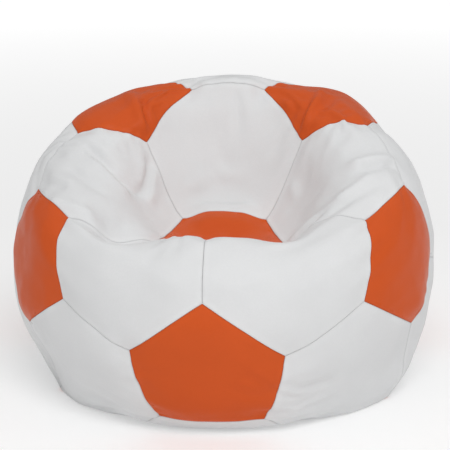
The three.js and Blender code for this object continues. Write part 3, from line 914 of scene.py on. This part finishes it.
ORANGE = leatherette("orange_leatherette", (0.62, 0.096, 0.021))
WHITE = leatherette("white_leatherette", (0.735, 0.74, 0.745))
LINER_CLOTH = woven_cloth("liner_cloth", (0.69, 0.67, 0.62), thread=0.0006)
BEADS = foam_beads("foam_beads", (0.88, 0.88, 0.86), bead=0.0045)
TAPE_CLOTH = woven_cloth("zip_tape_cloth", (0.76, 0.76, 0.74), thread=0.0004)
THREAD = woven_cloth("sewing_thread", (0.78, 0.78, 0.76), thread=0.0003, roughness=0.6)
COIL_NYLON = moulded_nylon("zip_coil_nylon", (0.7, 0.7, 0.68))
NICKEL = plated_metal("zip_metal", (0.62, 0.62, 0.61))

# --- pieces ---


def add_to_scene(name, data):
    item = bpy.data.objects.new(name, data)
    bpy.context.scene.collection.objects.link(item)
    return item


def add_piece(name, shape, material, body="bag", matrix=None, replaces=(), attributes=None):
    """A smooth mesh from vertices in millimetres and faces, on a CAD body in place of its CAD nodes."""
    vertices, faces = shape
    mesh = bpy.data.meshes.new(name)
    mesh.from_pydata((np.asarray(vertices) * MM).tolist(), [], [list(map(int, face)) for face in faces])
    mesh.materials.append(material)
    mesh.shade_smooth()
    for attribute, values in (attributes or {}).items():
        layer = mesh.attributes.new(attribute, "FLOAT", "POINT")
        layer.data.foreach_set("value", values.astype(np.float32))
    piece = add_to_scene(name, mesh)
    if matrix:
        piece.matrix_world = matrix
    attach(piece, body)
    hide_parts(*replaces)
    return piece


def strip(one, other):
    """Triangles between two closed rings of vertices. The first ring is on the left, going round."""
    after_one, after_other = np.roll(one, -1), np.roll(other, -1)
    first = np.stack([one, other, after_other], axis=1)
    second = np.stack([one, after_other, after_one], axis=1)
    return np.concatenate([first, second])


def ring_numbers(count, around):
    """The numbers of the vertices in each of several rings."""
    return [ring * around + np.arange(around) for ring in range(count)]


# --- the panels: each has rolled edges and a seam allowance turned into the bag ---

LEATHERETTE = 1.2
SEAM_GAP = 0.15
EDGE_RADIUS = 1.4
ROLL = np.radians([0, 25, 50, 70, 90])  # how far the edge has rolled over, from ring to ring
ALLOWANCE = 7.0
ALLOWANCE_STEPS = (0.5, 1.0)  # shares of it, at the rings below the roll
SLOT_HALF = 7.0  # from the zip's middle to the panels beside it
SLOT_HALF_LENGTH = 0.49 * PANEL_EDGE
SLOT_EDGE_RADIUS = 0.9
SLOT_ALLOWANCE = 0.2
SLOT_EASE = 40.0  # how far from the slot the cloth beside it has moved over
SLOT_END_EASE = 12.0  # the length at each end of the slot over which that dies away
ON_SEAM = 1.0  # a flat point this near the zip's seam lies on it
BESIDE_ZIP = ("hexagon_rear_left", "hexagon_rear_right")


class Panel:
    """One panel's part of the settled net, and the rim where it is sewn."""

    def __init__(self, name, net, points, normals):
        steps = net.steps
        sectors = net.ids[net.sector_panel == list(PLAN).index(name)]
        ids, local = np.unique(sectors, return_inverse=True)
        local = local.reshape(sectors.shape)
        self.flat = net.flat[ids]
        self.points = points[ids]
        self.normals = normals[ids]
        self.triangles = local[:, net.pattern].reshape(-1, 3)
        outer = lattice_index(steps, np.arange(steps))
        self.rim = local[:, outer].ravel()
        place = np.arange(steps) * (steps - 1) / steps
        low = np.floor(place).astype(int)
        high = np.minimum(low + 1, steps - 1)
        share = (place - low)[None, :, None]
        row = lattice_index(steps - 1, 0)
        inner = between(points[sectors[:, row + low]], points[sectors[:, row + high]], share)
        outline = PLAN[name]
        apothem = np.linalg.norm((outline[0] + outline[1]) / 2 - outline.mean(0))
        self.seam = self.points[self.rim]
        self.inward = (inner.reshape(-1, 3) - self.seam) * steps / apothem
        self.up = self.normals[self.rim]
        self.seam_distance = np.full(len(ids), np.inf)
        self.seam_run = np.zeros(len(ids))
        from_side = apothem * (1 - net.rows / steps)
        from_middle = np.abs(net.places / np.maximum(net.rows, 1) - 0.5) * PANEL_EDGE
        for sector in local:
            self.seam_distance[sector] = np.minimum(self.seam_distance[sector], from_side)
            self.seam_run[sector] = from_middle
        self.gap = np.full(len(self.rim), SEAM_GAP / 2)
        self.radius = np.full(len(self.rim), EDGE_RADIUS)
        self.allowance = np.full(len(self.rim), ALLOWANCE)
        if name in BESIDE_ZIP:
            self.stand_back_from_zip()

    def stand_back_from_zip(self):
        """Opens the seam along the zip into a slot, and moves the cloth beside it over."""
        top, foot = ZIP_SEAM
        run = (foot - top) / np.linalg.norm(foot - top)
        middle = (top + foot) / 2

        def from_line(places):
            along = (places - middle) @ run
            return np.linalg.norm(places - middle - along[:, None] * run, axis=1), along

        away, along = from_line(self.flat[self.rim])
        self.slot_rim = np.flatnonzero((away < ON_SEAM) & (np.abs(along) < SLOT_HALF_LENGTH))
        self.gap[self.slot_rim] = SLOT_HALF
        self.radius[self.slot_rim] = SLOT_EDGE_RADIUS
        self.allowance[self.slot_rim] = SLOT_ALLOWANCE
        away, along = from_line(self.flat)
        at = self.slot_rim[np.abs(along[:, None] - along[self.rim[self.slot_rim]][None]).argmin(1)]
        before_end = (PANEL_EDGE + SLOT_END_EASE) / 2 - np.abs(along)
        ease = np.clip(1 - away / SLOT_EASE, 0, 1) ** 2 * np.clip(before_end / SLOT_END_EASE, 0, 1)
        moved = (SLOT_HALF + EDGE_RADIUS) * ease
        moved[self.rim] = 0
        self.points = self.points + self.inward[at] * moved[:, None]

    def edge_ring(self, angle, drop):
        """The rim's face and back, rolled over by an angle and then down by a share of the allowance."""
        away = (self.gap + self.radius * (1 - math.sin(angle)))[:, None]
        depth = (self.radius * (1 - math.cos(angle)) + self.allowance * drop)[:, None]
        face = self.seam + self.inward * away - self.up * depth
        outward = self.up * math.cos(angle) - self.inward * math.sin(angle)
        return face, face - outward * LEATHERETTE

    def sheet(self):
        """The panel's closed skin as (vertices, faces), and where each vertex is from and along the seam."""
        rings = [self.edge_ring(angle, 0) for angle in ROLL]
        rings += [self.edge_ring(ROLL[-1], drop) for drop in ALLOWANCE_STEPS]
        front, back = self.points.copy(), self.points - self.normals * LEATHERETTE
        front[self.rim], back[self.rim] = rings[0]
        count, around = len(front), len(self.rim)
        vertices = [front, *(face for face, _ in rings[1:]), back, *(inside for _, inside in rings[1:])]
        extra = len(rings) - 1
        layer = count + extra * around
        front_rings = [self.rim] + [count + ring for ring in ring_numbers(extra, around)]
        back_rings = [ring + layer for ring in front_rings]
        order = front_rings + back_rings[::-1]
        faces = [self.triangles, self.triangles[:, ::-1] + layer]
        faces += [strip(one, other) for one, other in zip(order, order[1:])]
        distance = self.seam_distance.copy()
        distance[self.rim] = EDGE_RADIUS
        distances = [distance]
        distances += [np.full(around, EDGE_RADIUS * (1 - math.sin(angle))) for angle in ROLL[1:]]
        distances += [np.zeros(around)] * len(ALLOWANCE_STEPS)
        runs = [self.seam_run] + [self.seam_run[self.rim]] * extra
        attributes = {
            "seam_distance": np.concatenate(distances * 2) * MM,
            "seam_run": np.concatenate(runs * 2) * MM,
        }
        return (np.concatenate(vertices), np.concatenate(faces)), attributes


KINDS = {"pentagon": ("orange", ORANGE, 5), "hexagon": ("white", WHITE, 6)}


def add_panels(net, points):
    """Every panel as a piece of its own. The panels are returned by name."""
    normals = net.normals(points)
    panels = {}
    for name in PLAN:
        panel = panels[name] = Panel(name, net, points, normals)
        kind, place = name.split("_", 1)
        colour, material, sides = KINDS[kind]
        shape, attributes = panel.sheet()
        piece = add_piece(f"{colour}_{place}", shape, material, replaces=[name], attributes=attributes)
    return panels


# --- inside the cover: the liner and its beads ---

LINER_DEPTH = 6.0
LINER_THICKNESS = 0.6
BEADS_BELOW_LINER = 1.2
ROOM_FOR_SEAMS = 9.0  # the turned-in seams press into the liner this much deeper
ROOM_REACH = 9.0


def halved(net, points):
    """The settled points on the net with twice the spacing."""
    coarser = Net(net.steps // 2)
    kept = np.empty_like(coarser.flat)
    kept[coarser.ids] = points[net.ids[:, lattice_index(2 * coarser.rows, 2 * coarser.places)]]
    return coarser, kept


def add_liner_and_beads(net, points):
    """The liner's two faces join in a hem round its mouth at the zip. The beads fill it."""
    net, points = halved(net, points)
    normals = net.normals(points)
    depth = LINER_DEPTH + ROOM_FOR_SEAMS * faded(net.seam_distance(), ROOM_REACH)

    def layer(further):
        return points - normals * (depth + further)[:, None]

    mouth = np.isin(net.triangles, net.line(*ZIP_SEAM)[1:-1]).sum(1) > 1
    closed = net.triangles[~mouth]
    count = len(points)
    edges = edges_of(closed)
    unpaired = ~np.isin(edges @ [count, 1], edges[:, ::-1] @ [count, 1])
    starts, ends = edges[unpaired].T
    one_half = np.stack([starts, starts + count, ends + count], axis=1)
    other_half = np.stack([starts, ends + count, ends], axis=1)
    faces = np.concatenate([closed, closed[:, ::-1] + count, one_half, other_half])
    skin = np.concatenate([layer(0), layer(LINER_THICKNESS)]), faces
    liner = add_piece("liner", skin, LINER_CLOTH, replaces=["inner_liner"])
    fill = layer(LINER_THICKNESS + BEADS_BELOW_LINER), net.triangles
    beads = add_piece("foam_beads", fill, BEADS, replaces=["bead_fill"])


# --- the zip, in its own axes: X across to the chair's left, Y up along the seam, Z out of the bag ---

ZIP_LENGTH = 176.0
ZIP_CENTRE_GAP = 1.4
ZIP_GAP = 0.3  # between the parts that slide on each other
BEVEL_TURN = np.radians([0, 30, 60, 90])  # from a plate's face to its side
LEAST_MITRE = 0.5  # keeps the mitre of a sharp corner short

TAPE_WIDTH = 10.0
TAPE_THICKNESS = 0.6
TAPE_DEPTH = 2.4  # of its face below the seam's line
TAPE_RIBS = 9
POINTS_PER_RIB = 4
RIB_HEIGHT = 0.07
TAPE_STATIONS = 45  # along its length

COIL_WIDTH = 2.4
COIL_THICKNESS = 1.6
COIL_DEPTH = 0.5
COIL_MIDDLE = -COIL_DEPTH - COIL_THICKNESS / 2
COIL_PITCH = 1.6
COIL_WIRE = 0.3  # the wire's radius
COIL_SQUARENESS = 0.7  # below 1 squares the loops off
HEAD_PAST_MIDDLE = 0.25  # how far each coil's heads reach past the middle, between the other's
POINTS_PER_TURN = 14
WIRE_SIDES = 6
CORD_RADIUS = 0.28
CORD_SIDES = 8
CORD_POINTS = 60

STOP_LENGTH = 4.0
STOP_CORNER = 0.5
STOP_SHOULDER = 0.15  # share of its half length over which each end is rounded
STOP_END_INSET = 0.35
STOP_GROOVE = 0.12
STOP_WAVES = 3  # in its length, with a groove where two of them meet
STOP_PLAIN = 0.1  # share of its length at each end that no groove reaches
STOP_STATIONS = 25

SLIDER_LENGTH = 15.0
SLIDER_WIDTH = 9.6
SLIDER_FOOT = 0.38 * SLIDER_WIDTH  # half its width where the closed coils leave it
SLIDER_TAPER = 0.05 * SLIDER_LENGTH  # how far below its middle it starts to narrow
SLIDER_PLATE = 1.2
SLIDER_CORNER = 1.8
SLIDER_BEVEL = 0.5
RIM_WIDTH = 0.9
RIM_SHORT = 2.0  # how far the rims stop below the slider's head
RIM_CORNER = 0.4
RIM_DEPTH = 1.2  # below the top of the coils
RIM_OVERLAP = 0.3  # how far the rims reach into the upper plate
RIM_BEVEL = 0.3
WEDGE_HALF = 0.45
WEDGE_ENDS = (1.0, 3.0)  # where its point starts, and where it has its full width
WEDGE_SHORT = 1.2
WEDGE_CORNER = 0.2
WEDGE_BEVEL = 0.1
BAIL_BORE = 2.5
BAIL_RADIUS = 3.8
BAIL_WIDTH = 2.0
BAIL_SIDES = 12
BAIL_POINTS = 21

PIVOT_ABOVE_PLATE = 1.5
TAB_LENGTH = 30.0
TAB_WIDTH = 8.0
TAB_NECK = 0.8  # share of its width that it has at the pivot
TAB_SHOULDER = 0.45  # share of the way from the pivot to its foot where it reaches its full width
TAB_THICKNESS = 1.5
TAB_BAR = 1.6  # the width of the bar that hangs in the bail
TAB_CORNER = 1.5
EYE_WIDTH = 3.4
EYE_LENGTH = 6.0
EYE_CORNER = 1.2
# The rings of the tab's face, in from its outline and back from its eye: how far, at most which share of the
# way between them, and how far below the highest. The middle is sunk.
FROM_OUTLINE = [(0, 0, 0.4), (0.12, 1, 0.12), (0.4, 1, 0), (1.1, 0.35, 0), (1.5, 0.5, 0.2)]
FROM_EYE = [(1.4, 0.35, 0.2), (1.0, 0.25, 0), (0.3, 0.1, 0), (0, 0, 0.3)]

UPPER_PLATE_FLOOR = -COIL_DEPTH + ZIP_GAP
UPPER_PLATE_TOP = UPPER_PLATE_FLOOR + SLIDER_PLATE
LOWER_PLATE_FLOOR = -TAPE_DEPTH - TAPE_THICKNESS - ZIP_GAP - SLIDER_PLATE
PIVOT_HEIGHT = UPPER_PLATE_TOP + PIVOT_ABOVE_PLATE
CLOSED = (ZIP_LENGTH - SLIDER_LENGTH) / 2 - ZIP_GAP  # the slider's place on the closed zip

HEM_WIDTH = 3.2  # from the slot's edge to the row of stitches
HEM_THREAD = 0.32  # the thread's radius
HEM_RAISED = 0.4  # share of the thread's radius that its middle stands above the cloth
HEM_STITCH = 3.6
HEM_PITCH = 4.5
STITCH_POINTS = 6
STITCH_DIP = 1.4  # how far its ends dip into the cloth, in radii of the thread


def zip_matrix(zip_ends):
    """The zip's axes, at the middle of its seam."""
    top, foot = zip_ends
    up = unit(top - foot)
    out = np.cross(up, [1, 0, 0])
    matrix = Matrix.Identity(4)
    for column, axis in enumerate((np.cross(up, out), up, out, (top + foot) / 2 * MM)):
        for row in range(3):
            matrix[row][column] = float(axis[row])
    return matrix


def tube(path, radius, sides, across):
    """A round tube along a path that bends mostly square to the direction across."""
    path = np.asarray(path, float)
    ahead = np.roll(path, -1, 0) - np.roll(path, 1, 0)
    ahead[0], ahead[-1] = path[1] - path[0], path[-1] - path[-2]
    ahead = unit(ahead)
    side = unit(np.cross(ahead, across))
    over = np.cross(side, ahead)
    turn = (np.arange(sides) * 2 * math.pi / sides)[None, :, None]
    rings = path[:, None] + radius * (np.cos(turn) * side[:, None] + np.sin(turn) * over[:, None])
    order = ring_numbers(len(path), sides)
    faces = [face for one, other in zip(order, order[1:]) for face in strip(one, other)[:, ::-1]]
    return rings.reshape(-1, 3), faces + [order[0][::-1], order[-1]]


def joined(*parts):
    """Several (vertices, faces) as one."""
    vertices, faces, count = [], [], 0
    for points, corners in parts:
        vertices.append(np.asarray(points, float))
        faces += [[int(corner) + count for corner in face] for face in corners]
        count += len(points)
    return np.concatenate(vertices), faces


def stacked(rings):
    """A solid through closed rings of vertices, one after another, with flat ends."""
    order = ring_numbers(len(rings), len(rings[0]))
    faces = [face for one, other in zip(order, order[1:]) for face in strip(one, other)]
    return np.concatenate(rings), faces + [order[0], order[-1][::-1]]


def rounded_outline(corners, radius, steps=5):
    """A closed outline in X and Y with every corner rounded, anticlockwise."""
    corners = np.array(corners, float)
    outline = []
    for index, corner in enumerate(corners):
        before = unit(corners[index - 1] - corner)
        after = unit(corners[(index + 1) % len(corners)] - corner)
        half_angle = math.acos(np.clip(before @ after, -1, 1)) / 2
        reach = radius / math.tan(half_angle)
        start, end = corner + before * reach, corner + after * reach
        for share in np.arange(steps + 1) / steps:
            outline.append((1 - share) ** 2 * start + 2 * share * (1 - share) * corner + share**2 * end)
    return np.array(outline)


def inset(outline, distance):
    """The outline moved in by a distance."""
    ahead = unit(np.roll(outline, -1, 0) - outline)
    inward = np.stack([-ahead[:, 1], ahead[:, 0]], axis=1)
    mitre = unit(inward + np.roll(inward, 1, 0))
    stretch = 1 / np.maximum(np.einsum("ij,ij->i", mitre, inward), LEAST_MITRE)
    return outline + mitre * (distance * stretch)[:, None]


def at_height(outline, height):
    """An outline in X and Y at this height."""
    return np.column_stack([outline, np.full(len(outline), height)])


def at_station(outline, y):
    """An outline in X and Z at this place along the zip."""
    return np.column_stack([outline[:, 0], np.full(len(outline), y), outline[:, 1]])


def soft_plate(outline, floor, top, bevel):
    """A plate with rounded edges."""
    outlines = [inset(outline, bevel * (1 - math.sin(angle))) for angle in BEVEL_TURN]
    drops = [bevel * (1 - math.cos(angle)) for angle in BEVEL_TURN]
    upper = [at_height(ring, top - drop) for ring, drop in zip(outlines, drops)]
    lower = [at_height(ring, floor + drop) for ring, drop in zip(outlines, drops)]
    return stacked(upper + lower[::-1])


def rectangle(left, right, low, high):
    return [(left, low), (right, low), (right, high), (left, high)]


def tape(side):
    """A strip of woven tape with lengthwise ribs on its face."""
    across = np.linspace(0, TAPE_WIDTH, TAPE_RIBS * POINTS_PER_RIB + 1)
    ribs = RIB_HEIGHT * (np.cos(across / TAPE_WIDTH * TAPE_RIBS * 2 * math.pi) - 1)
    face = np.column_stack([side * ZIP_CENTRE_GAP / 2 + side * across, -TAPE_DEPTH + ribs])
    back = np.column_stack([face[::-1, 0], np.full(len(face), -TAPE_DEPTH - TAPE_THICKNESS)])
    section = np.concatenate([face, back])[::-side]
    stations = np.linspace(-ZIP_LENGTH / 2, ZIP_LENGTH / 2, TAPE_STATIONS)
    return stacked([at_station(section, y) for y in stations])


def squared_off(wave):
    """A round wave with fuller shoulders."""
    return np.sign(wave) * np.abs(wave) ** COIL_SQUARENESS


def coil(side):
    """A flattened helix of nylon wire, whose heads lie between the other coil's."""
    turns = int(ZIP_LENGTH / COIL_PITCH) - 1
    turn = np.arange(turns * POINTS_PER_TURN) * 2 * math.pi / POINTS_PER_TURN
    outer = ZIP_CENTRE_GAP / 2 + COIL_WIDTH - COIL_WIRE
    inner = COIL_WIRE - HEAD_PAST_MIDDLE
    x = (outer + inner) / 2 + (outer - inner) / 2 * squared_off(np.cos(turn))
    z = COIL_MIDDLE + (COIL_THICKNESS / 2 - COIL_WIRE) * squared_off(np.sin(turn))
    half_turn_up = 0.5 if side > 0 else 0
    y = turn / (2 * math.pi) * COIL_PITCH - (turns - half_turn_up) * COIL_PITCH / 2
    return tube(np.column_stack([side * x, y, z]), COIL_WIRE, WIRE_SIDES, (0, 1, 0))


def coil_cord(side):
    """The cord that runs through the coil."""
    x = side * (ZIP_CENTRE_GAP / 2 + COIL_WIDTH / 2)
    path = [(x, y, COIL_MIDDLE) for y in np.linspace(-ZIP_LENGTH / 2, ZIP_LENGTH / 2, CORD_POINTS)]
    return tube(path, CORD_RADIUS, CORD_SIDES, (1, 0, 0))


def stop(end):
    """A metal clamp round both coils, with rounded ends and two pressed grooves."""
    half_width = COIL_WIDTH + ZIP_CENTRE_GAP / 2
    middle = end * (ZIP_LENGTH / 2 + ZIP_GAP + STOP_LENGTH / 2)
    outside = rectangle(-half_width, half_width, -COIL_DEPTH - COIL_THICKNESS, -COIL_DEPTH)
    section = rounded_outline(outside, STOP_CORNER)
    rings = []
    for share in np.linspace(0, 1, STOP_STATIONS):
        into_end = max(0, abs(2 * share - 1) - (1 - STOP_SHOULDER)) / STOP_SHOULDER
        rounding = STOP_END_INSET * (1 - math.sqrt(max(0, 1 - into_end**2)))
        grooved = STOP_PLAIN < share < 1 - STOP_PLAIN
        groove = STOP_GROOVE * max(0, math.cos(share * 2 * STOP_WAVES * math.pi)) if grooved else 0
        rings.append(at_station(inset(section, rounding + groove), middle + (share - 0.5) * STOP_LENGTH))
    return stacked(rings)


def bail():
    """The flat arch on the slider that the pull tab hangs from."""
    wire = (BAIL_RADIUS - BAIL_BORE) / 2
    radius = BAIL_BORE + wire
    sweep = np.linspace(0, math.pi, BAIL_POINTS)
    arch = [(0, radius * math.cos(angle), PIVOT_HEIGHT + radius * math.sin(angle)) for angle in sweep]
    in_plate = UPPER_PLATE_TOP - SLIDER_PLATE / 2
    path = [(0, arch[0][1], in_plate), *arch, (0, arch[-1][1], in_plate)]
    vertices, faces = tube(path, wire, BAIL_SIDES, (1, 0, 0))
    vertices[:, 0] *= BAIL_WIDTH / 2 / wire
    return vertices, faces


def slider():
    """Two shield-shaped plates with side rims, the wedge between them and the bail on top."""
    half, head, foot, taper = SLIDER_LENGTH / 2, SLIDER_WIDTH / 2, SLIDER_FOOT, -SLIDER_TAPER
    shield = [(-foot, -half), (foot, -half), (head, taper), (head, half), (-head, half), (-head, taper)]
    outline = rounded_outline(shield, SLIDER_CORNER)
    upper = soft_plate(outline, UPPER_PLATE_FLOOR, UPPER_PLATE_TOP, SLIDER_BEVEL)
    lower = soft_plate(outline, LOWER_PLATE_FLOOR, LOWER_PLATE_FLOOR + SLIDER_PLATE, SLIDER_BEVEL)
    rims = []
    for left, right in ((-head, RIM_WIDTH - head), (head - RIM_WIDTH, head)):
        edge = rounded_outline(rectangle(left, right, taper, half - RIM_SHORT), RIM_CORNER)
        rims.append(soft_plate(edge, -COIL_DEPTH - RIM_DEPTH, UPPER_PLATE_FLOOR + RIM_OVERLAP, RIM_BEVEL))
    tip, full = WEDGE_ENDS
    end = half - WEDGE_SHORT
    wedge = [(0, tip), (WEDGE_HALF, full), (WEDGE_HALF, end), (-WEDGE_HALF, end), (-WEDGE_HALF, full)]
    wedge = rounded_outline(wedge, WEDGE_CORNER)
    floor, top = LOWER_PLATE_FLOOR + SLIDER_PLATE / 2, UPPER_PLATE_TOP - SLIDER_PLATE / 2
    return joined(upper, lower, *rims, soft_plate(wedge, floor, top, WEDGE_BEVEL), bail())


def by_angle(loop, centre, count=96, per_side=12):
    """The loop's point in each of a fixed set of directions from a centre."""
    around = np.linspace(0, 2 * math.pi, count, endpoint=False)
    sides = zip(loop, np.roll(loop, -1, 0))
    dense = np.concatenate([np.linspace(start, end, per_side, endpoint=False) for start, end in sides])
    angles = np.arctan2(*(dense - centre).T[::-1])
    apart = np.abs(np.angle(np.exp(1j * (angles[None] - around[:, None]))))
    return dense[apart.argmin(1)]


def pull_tab():
    """A flat tab with an eye at the pivot, rounded edges and a sunk middle, hanging along -Y."""
    half, top, foot = TAB_WIDTH / 2, TAB_BAR / 2, TAB_BAR / 2 - TAB_LENGTH
    neck, shoulder = half * TAB_NECK, foot * TAB_SHOULDER
    body = [(-half, foot), (half, foot), (half, shoulder), (neck, top), (-neck, top), (-half, shoulder)]
    eye = rectangle(-EYE_WIDTH / 2, EYE_WIDTH / 2, -top - EYE_LENGTH, -top)
    centre = np.array([0, -top - EYE_LENGTH / 2])
    outer = by_angle(rounded_outline(body, TAB_CORNER, steps=7), centre)
    inner = by_angle(rounded_outline(eye, EYE_CORNER, steps=20), centre)
    toward = unit(inner - outer)
    reach = np.linalg.norm(inner - outer, axis=1)[:, None]
    high = TAB_THICKNESS / 2
    rings = []
    for start, sign, steps in ((outer, 1, FROM_OUTLINE), (inner, -1, FROM_EYE)):
        for far, share, drop in steps:
            rings.append(at_height(start + sign * toward * np.minimum(far, share * reach), high - drop))
    rings += [ring * (1, 1, -1) for ring in reversed(rings)]
    order = ring_numbers(len(rings), len(outer))
    faces = [face for one, other in zip(order, order[1:] + order[:1]) for face in strip(one, other)[:, ::-1]]
    return np.concatenate(rings), faces


def stitch(start, end, up):
    """A short stitch that dips into the cloth at both ends."""
    share = np.linspace(0, 1, STITCH_POINTS)[:, None]
    dip = HEM_THREAD * STITCH_DIP * (2 * share - 1) ** 4
    path = between(start, end, share) - up * dip
    return tube(path, HEM_THREAD, WIRE_SIDES, np.cross(end - start, up))


def hem_stitches(panels):
    """Two rows of stitches that hold the panels' edges down beside the zip."""
    stitches = []
    for name in BESIDE_ZIP:
        panel = panels[name]
        rim = panel.slot_rim[np.argsort(panel.seam[panel.slot_rim, 2])]
        up = panel.up[rim]
        line = panel.seam[rim] + panel.inward[rim] * (SLOT_HALF + HEM_WIDTH) + up * HEM_THREAD * HEM_RAISED
        run = np.concatenate([[0], np.cumsum(np.linalg.norm(np.diff(line, axis=0), axis=1))])
        starts = np.arange(0, run[-1] - HEM_STITCH, HEM_PITCH)
        heads, tails = (
            np.stack([np.interp(places, run, line[:, axis]) for axis in range(3)], axis=1)
            for places in (starts, starts + HEM_STITCH)
        )
        stitches += [stitch(head, tail, up.mean(0)) for head, tail in zip(heads, tails)]
    return joined(*stitches)


def add_zip(zip_ends, panels):
    """The closed zip and its stitches. Its slider and tab ride on bodies of their own."""
    base = zip_matrix(zip_ends)
    at_slider = base @ Matrix.Translation((0, CLOSED * MM, 0))
    for label, side in {"left": 1, "right": -1}.items():
        ribbon = add_piece(
            f"woven_tape_{label}", tape(side), TAPE_CLOTH, "bag", base, [f"zip_tape_{label}"]
        )
        add_piece(
            f"wound_coil_{label}", coil(side), COIL_NYLON, "bag", base, [f"zip_coil_{label}"]
        )
        add_piece(f"coil_cord_{label}", coil_cord(side), THREAD, "bag", base)
    add_piece("top_clamp", stop(1), NICKEL, "bag", base, ["zip_top_stop"])
    add_piece("bottom_clamp", stop(-1), NICKEL, "bag", base, ["zip_bottom_stop"])
    add_piece("slider", slider(), NICKEL, "zip_slider", at_slider, ["zip_slider"])
    upright = Matrix.Rotation(-math.acos(base.col[1][2]), 4, "X")
    hanging = at_slider @ Matrix.Translation((0, 0, PIVOT_HEIGHT * MM)) @ upright
    add_piece("pull_tab", pull_tab(), NICKEL, "zip_pull_tab", hanging, ["zip_pull_tab"])
    add_piece("hem_stitches", hem_stitches(panels), THREAD)


# --- the studio ---

VIEW_AZIMUTH = math.radians(3.6)  # from straight in front, towards the chair's right
VIEW_ELEVATION = math.radians(15.3)
VIEW_DISTANCE = 3.6
VIEW_TARGET = Vector((0.0, 0.046, 0.350))
LENS = 116.4
PAPER = (0.74, 0.74, 0.74)
PAPER_GLOW = (0.28, 0.56)  # near the chair, and far from it
GLOW_RISES = (1.5, 7.0)  # between these distances from the middle of the floor
FLOOR_HALF = 60.0
FLOOR_DROP = 0.0005
SKY_AT_HORIZON = 0.24
SKY_OVERHEAD = 0.78
KEY_PLACE = Vector((0.9, -3.2, 4.0))
KEY_SIZE = (2.6, 2.0)
KEY_POWER = 96
OPAQUE_WHITE = (1, 1, 1, 1)


def add_camera():
    lens = bpy.data.cameras.new("camera")
    lens.lens = LENS
    camera = add_to_scene("camera", lens)
    level_back = Vector((math.sin(VIEW_AZIMUTH), -math.cos(VIEW_AZIMUTH), 0))
    back = level_back * math.cos(VIEW_ELEVATION) + Vector((0, 0, math.sin(VIEW_ELEVATION)))
    camera.location = VIEW_TARGET + back * VIEW_DISTANCE
    camera.rotation_euler = back.to_track_quat("Z", "Y").to_euler()
    bpy.context.scene.camera = camera


def add_key_light():
    lamp = bpy.data.lights.new("key", "AREA")
    lamp.shape = "RECTANGLE"
    lamp.size, lamp.size_y = KEY_SIZE
    lamp.energy = KEY_POWER
    light = add_to_scene("key", lamp)
    light.location = KEY_PLACE
    light.rotation_euler = (KEY_PLACE - VIEW_TARGET).to_track_quat("Z", "Y").to_euler()


def add_floor():
    """A wide sheet of pale paper that glows softly, more so away from the chair."""
    mesh = bpy.data.meshes.new("studio_floor")
    corners = rectangle(-FLOOR_HALF, FLOOR_HALF, -FLOOR_HALF, FLOOR_HALF)
    mesh.from_pydata([(x, y, -FLOOR_DROP) for x, y in corners], [], [(0, 1, 2, 3)])
    paper = Finish("studio_paper", PAPER, roughness=0.9)
    from_middle = paper.node("ShaderNodeVectorMath", {0: paper.place}, operation="LENGTH").outputs["Value"]
    glow = paper.ramp(from_middle, *GLOW_RISES, *PAPER_GLOW)
    paper.set("Emission Color", OPAQUE_WHITE)
    paper.vary("Emission Strength", glow)
    mesh.materials.append(paper.material)
    add_to_scene("studio_floor", mesh)


def add_sky():
    """Soft light all round that grows towards the top."""
    sky = bpy.data.worlds.new("studio")
    sky.use_nodes = True
    nodes, links = sky.node_tree.nodes, sky.node_tree.links
    nodes["Background"].inputs["Color"].default_value = OPAQUE_WHITE
    direction = nodes.new("ShaderNodeSeparateXYZ")
    links.new(nodes.new("ShaderNodeTexCoord").outputs["Generated"], direction.inputs[0])
    brightness = nodes.new("ShaderNodeMapRange")
    brightness.inputs["To Min"].default_value = SKY_AT_HORIZON
    brightness.inputs["To Max"].default_value = SKY_OVERHEAD
    links.new(direction.outputs["Z"], brightness.inputs["Value"])
    links.new(brightness.outputs[0], nodes["Background"].inputs["Strength"])
    bpy.context.scene.world = sky


# --- the chair in the studio ---

cover_net, cover_points, zip_line = folded_cover()
cover_panels = add_panels(cover_net, cover_points)
add_liner_and_beads(cover_net, cover_points)
add_zip(zip_line, cover_panels)

add_camera()
add_floor()
add_sky()
add_key_light()
bpy.context.scene.view_settings.view_transform = "Standard"
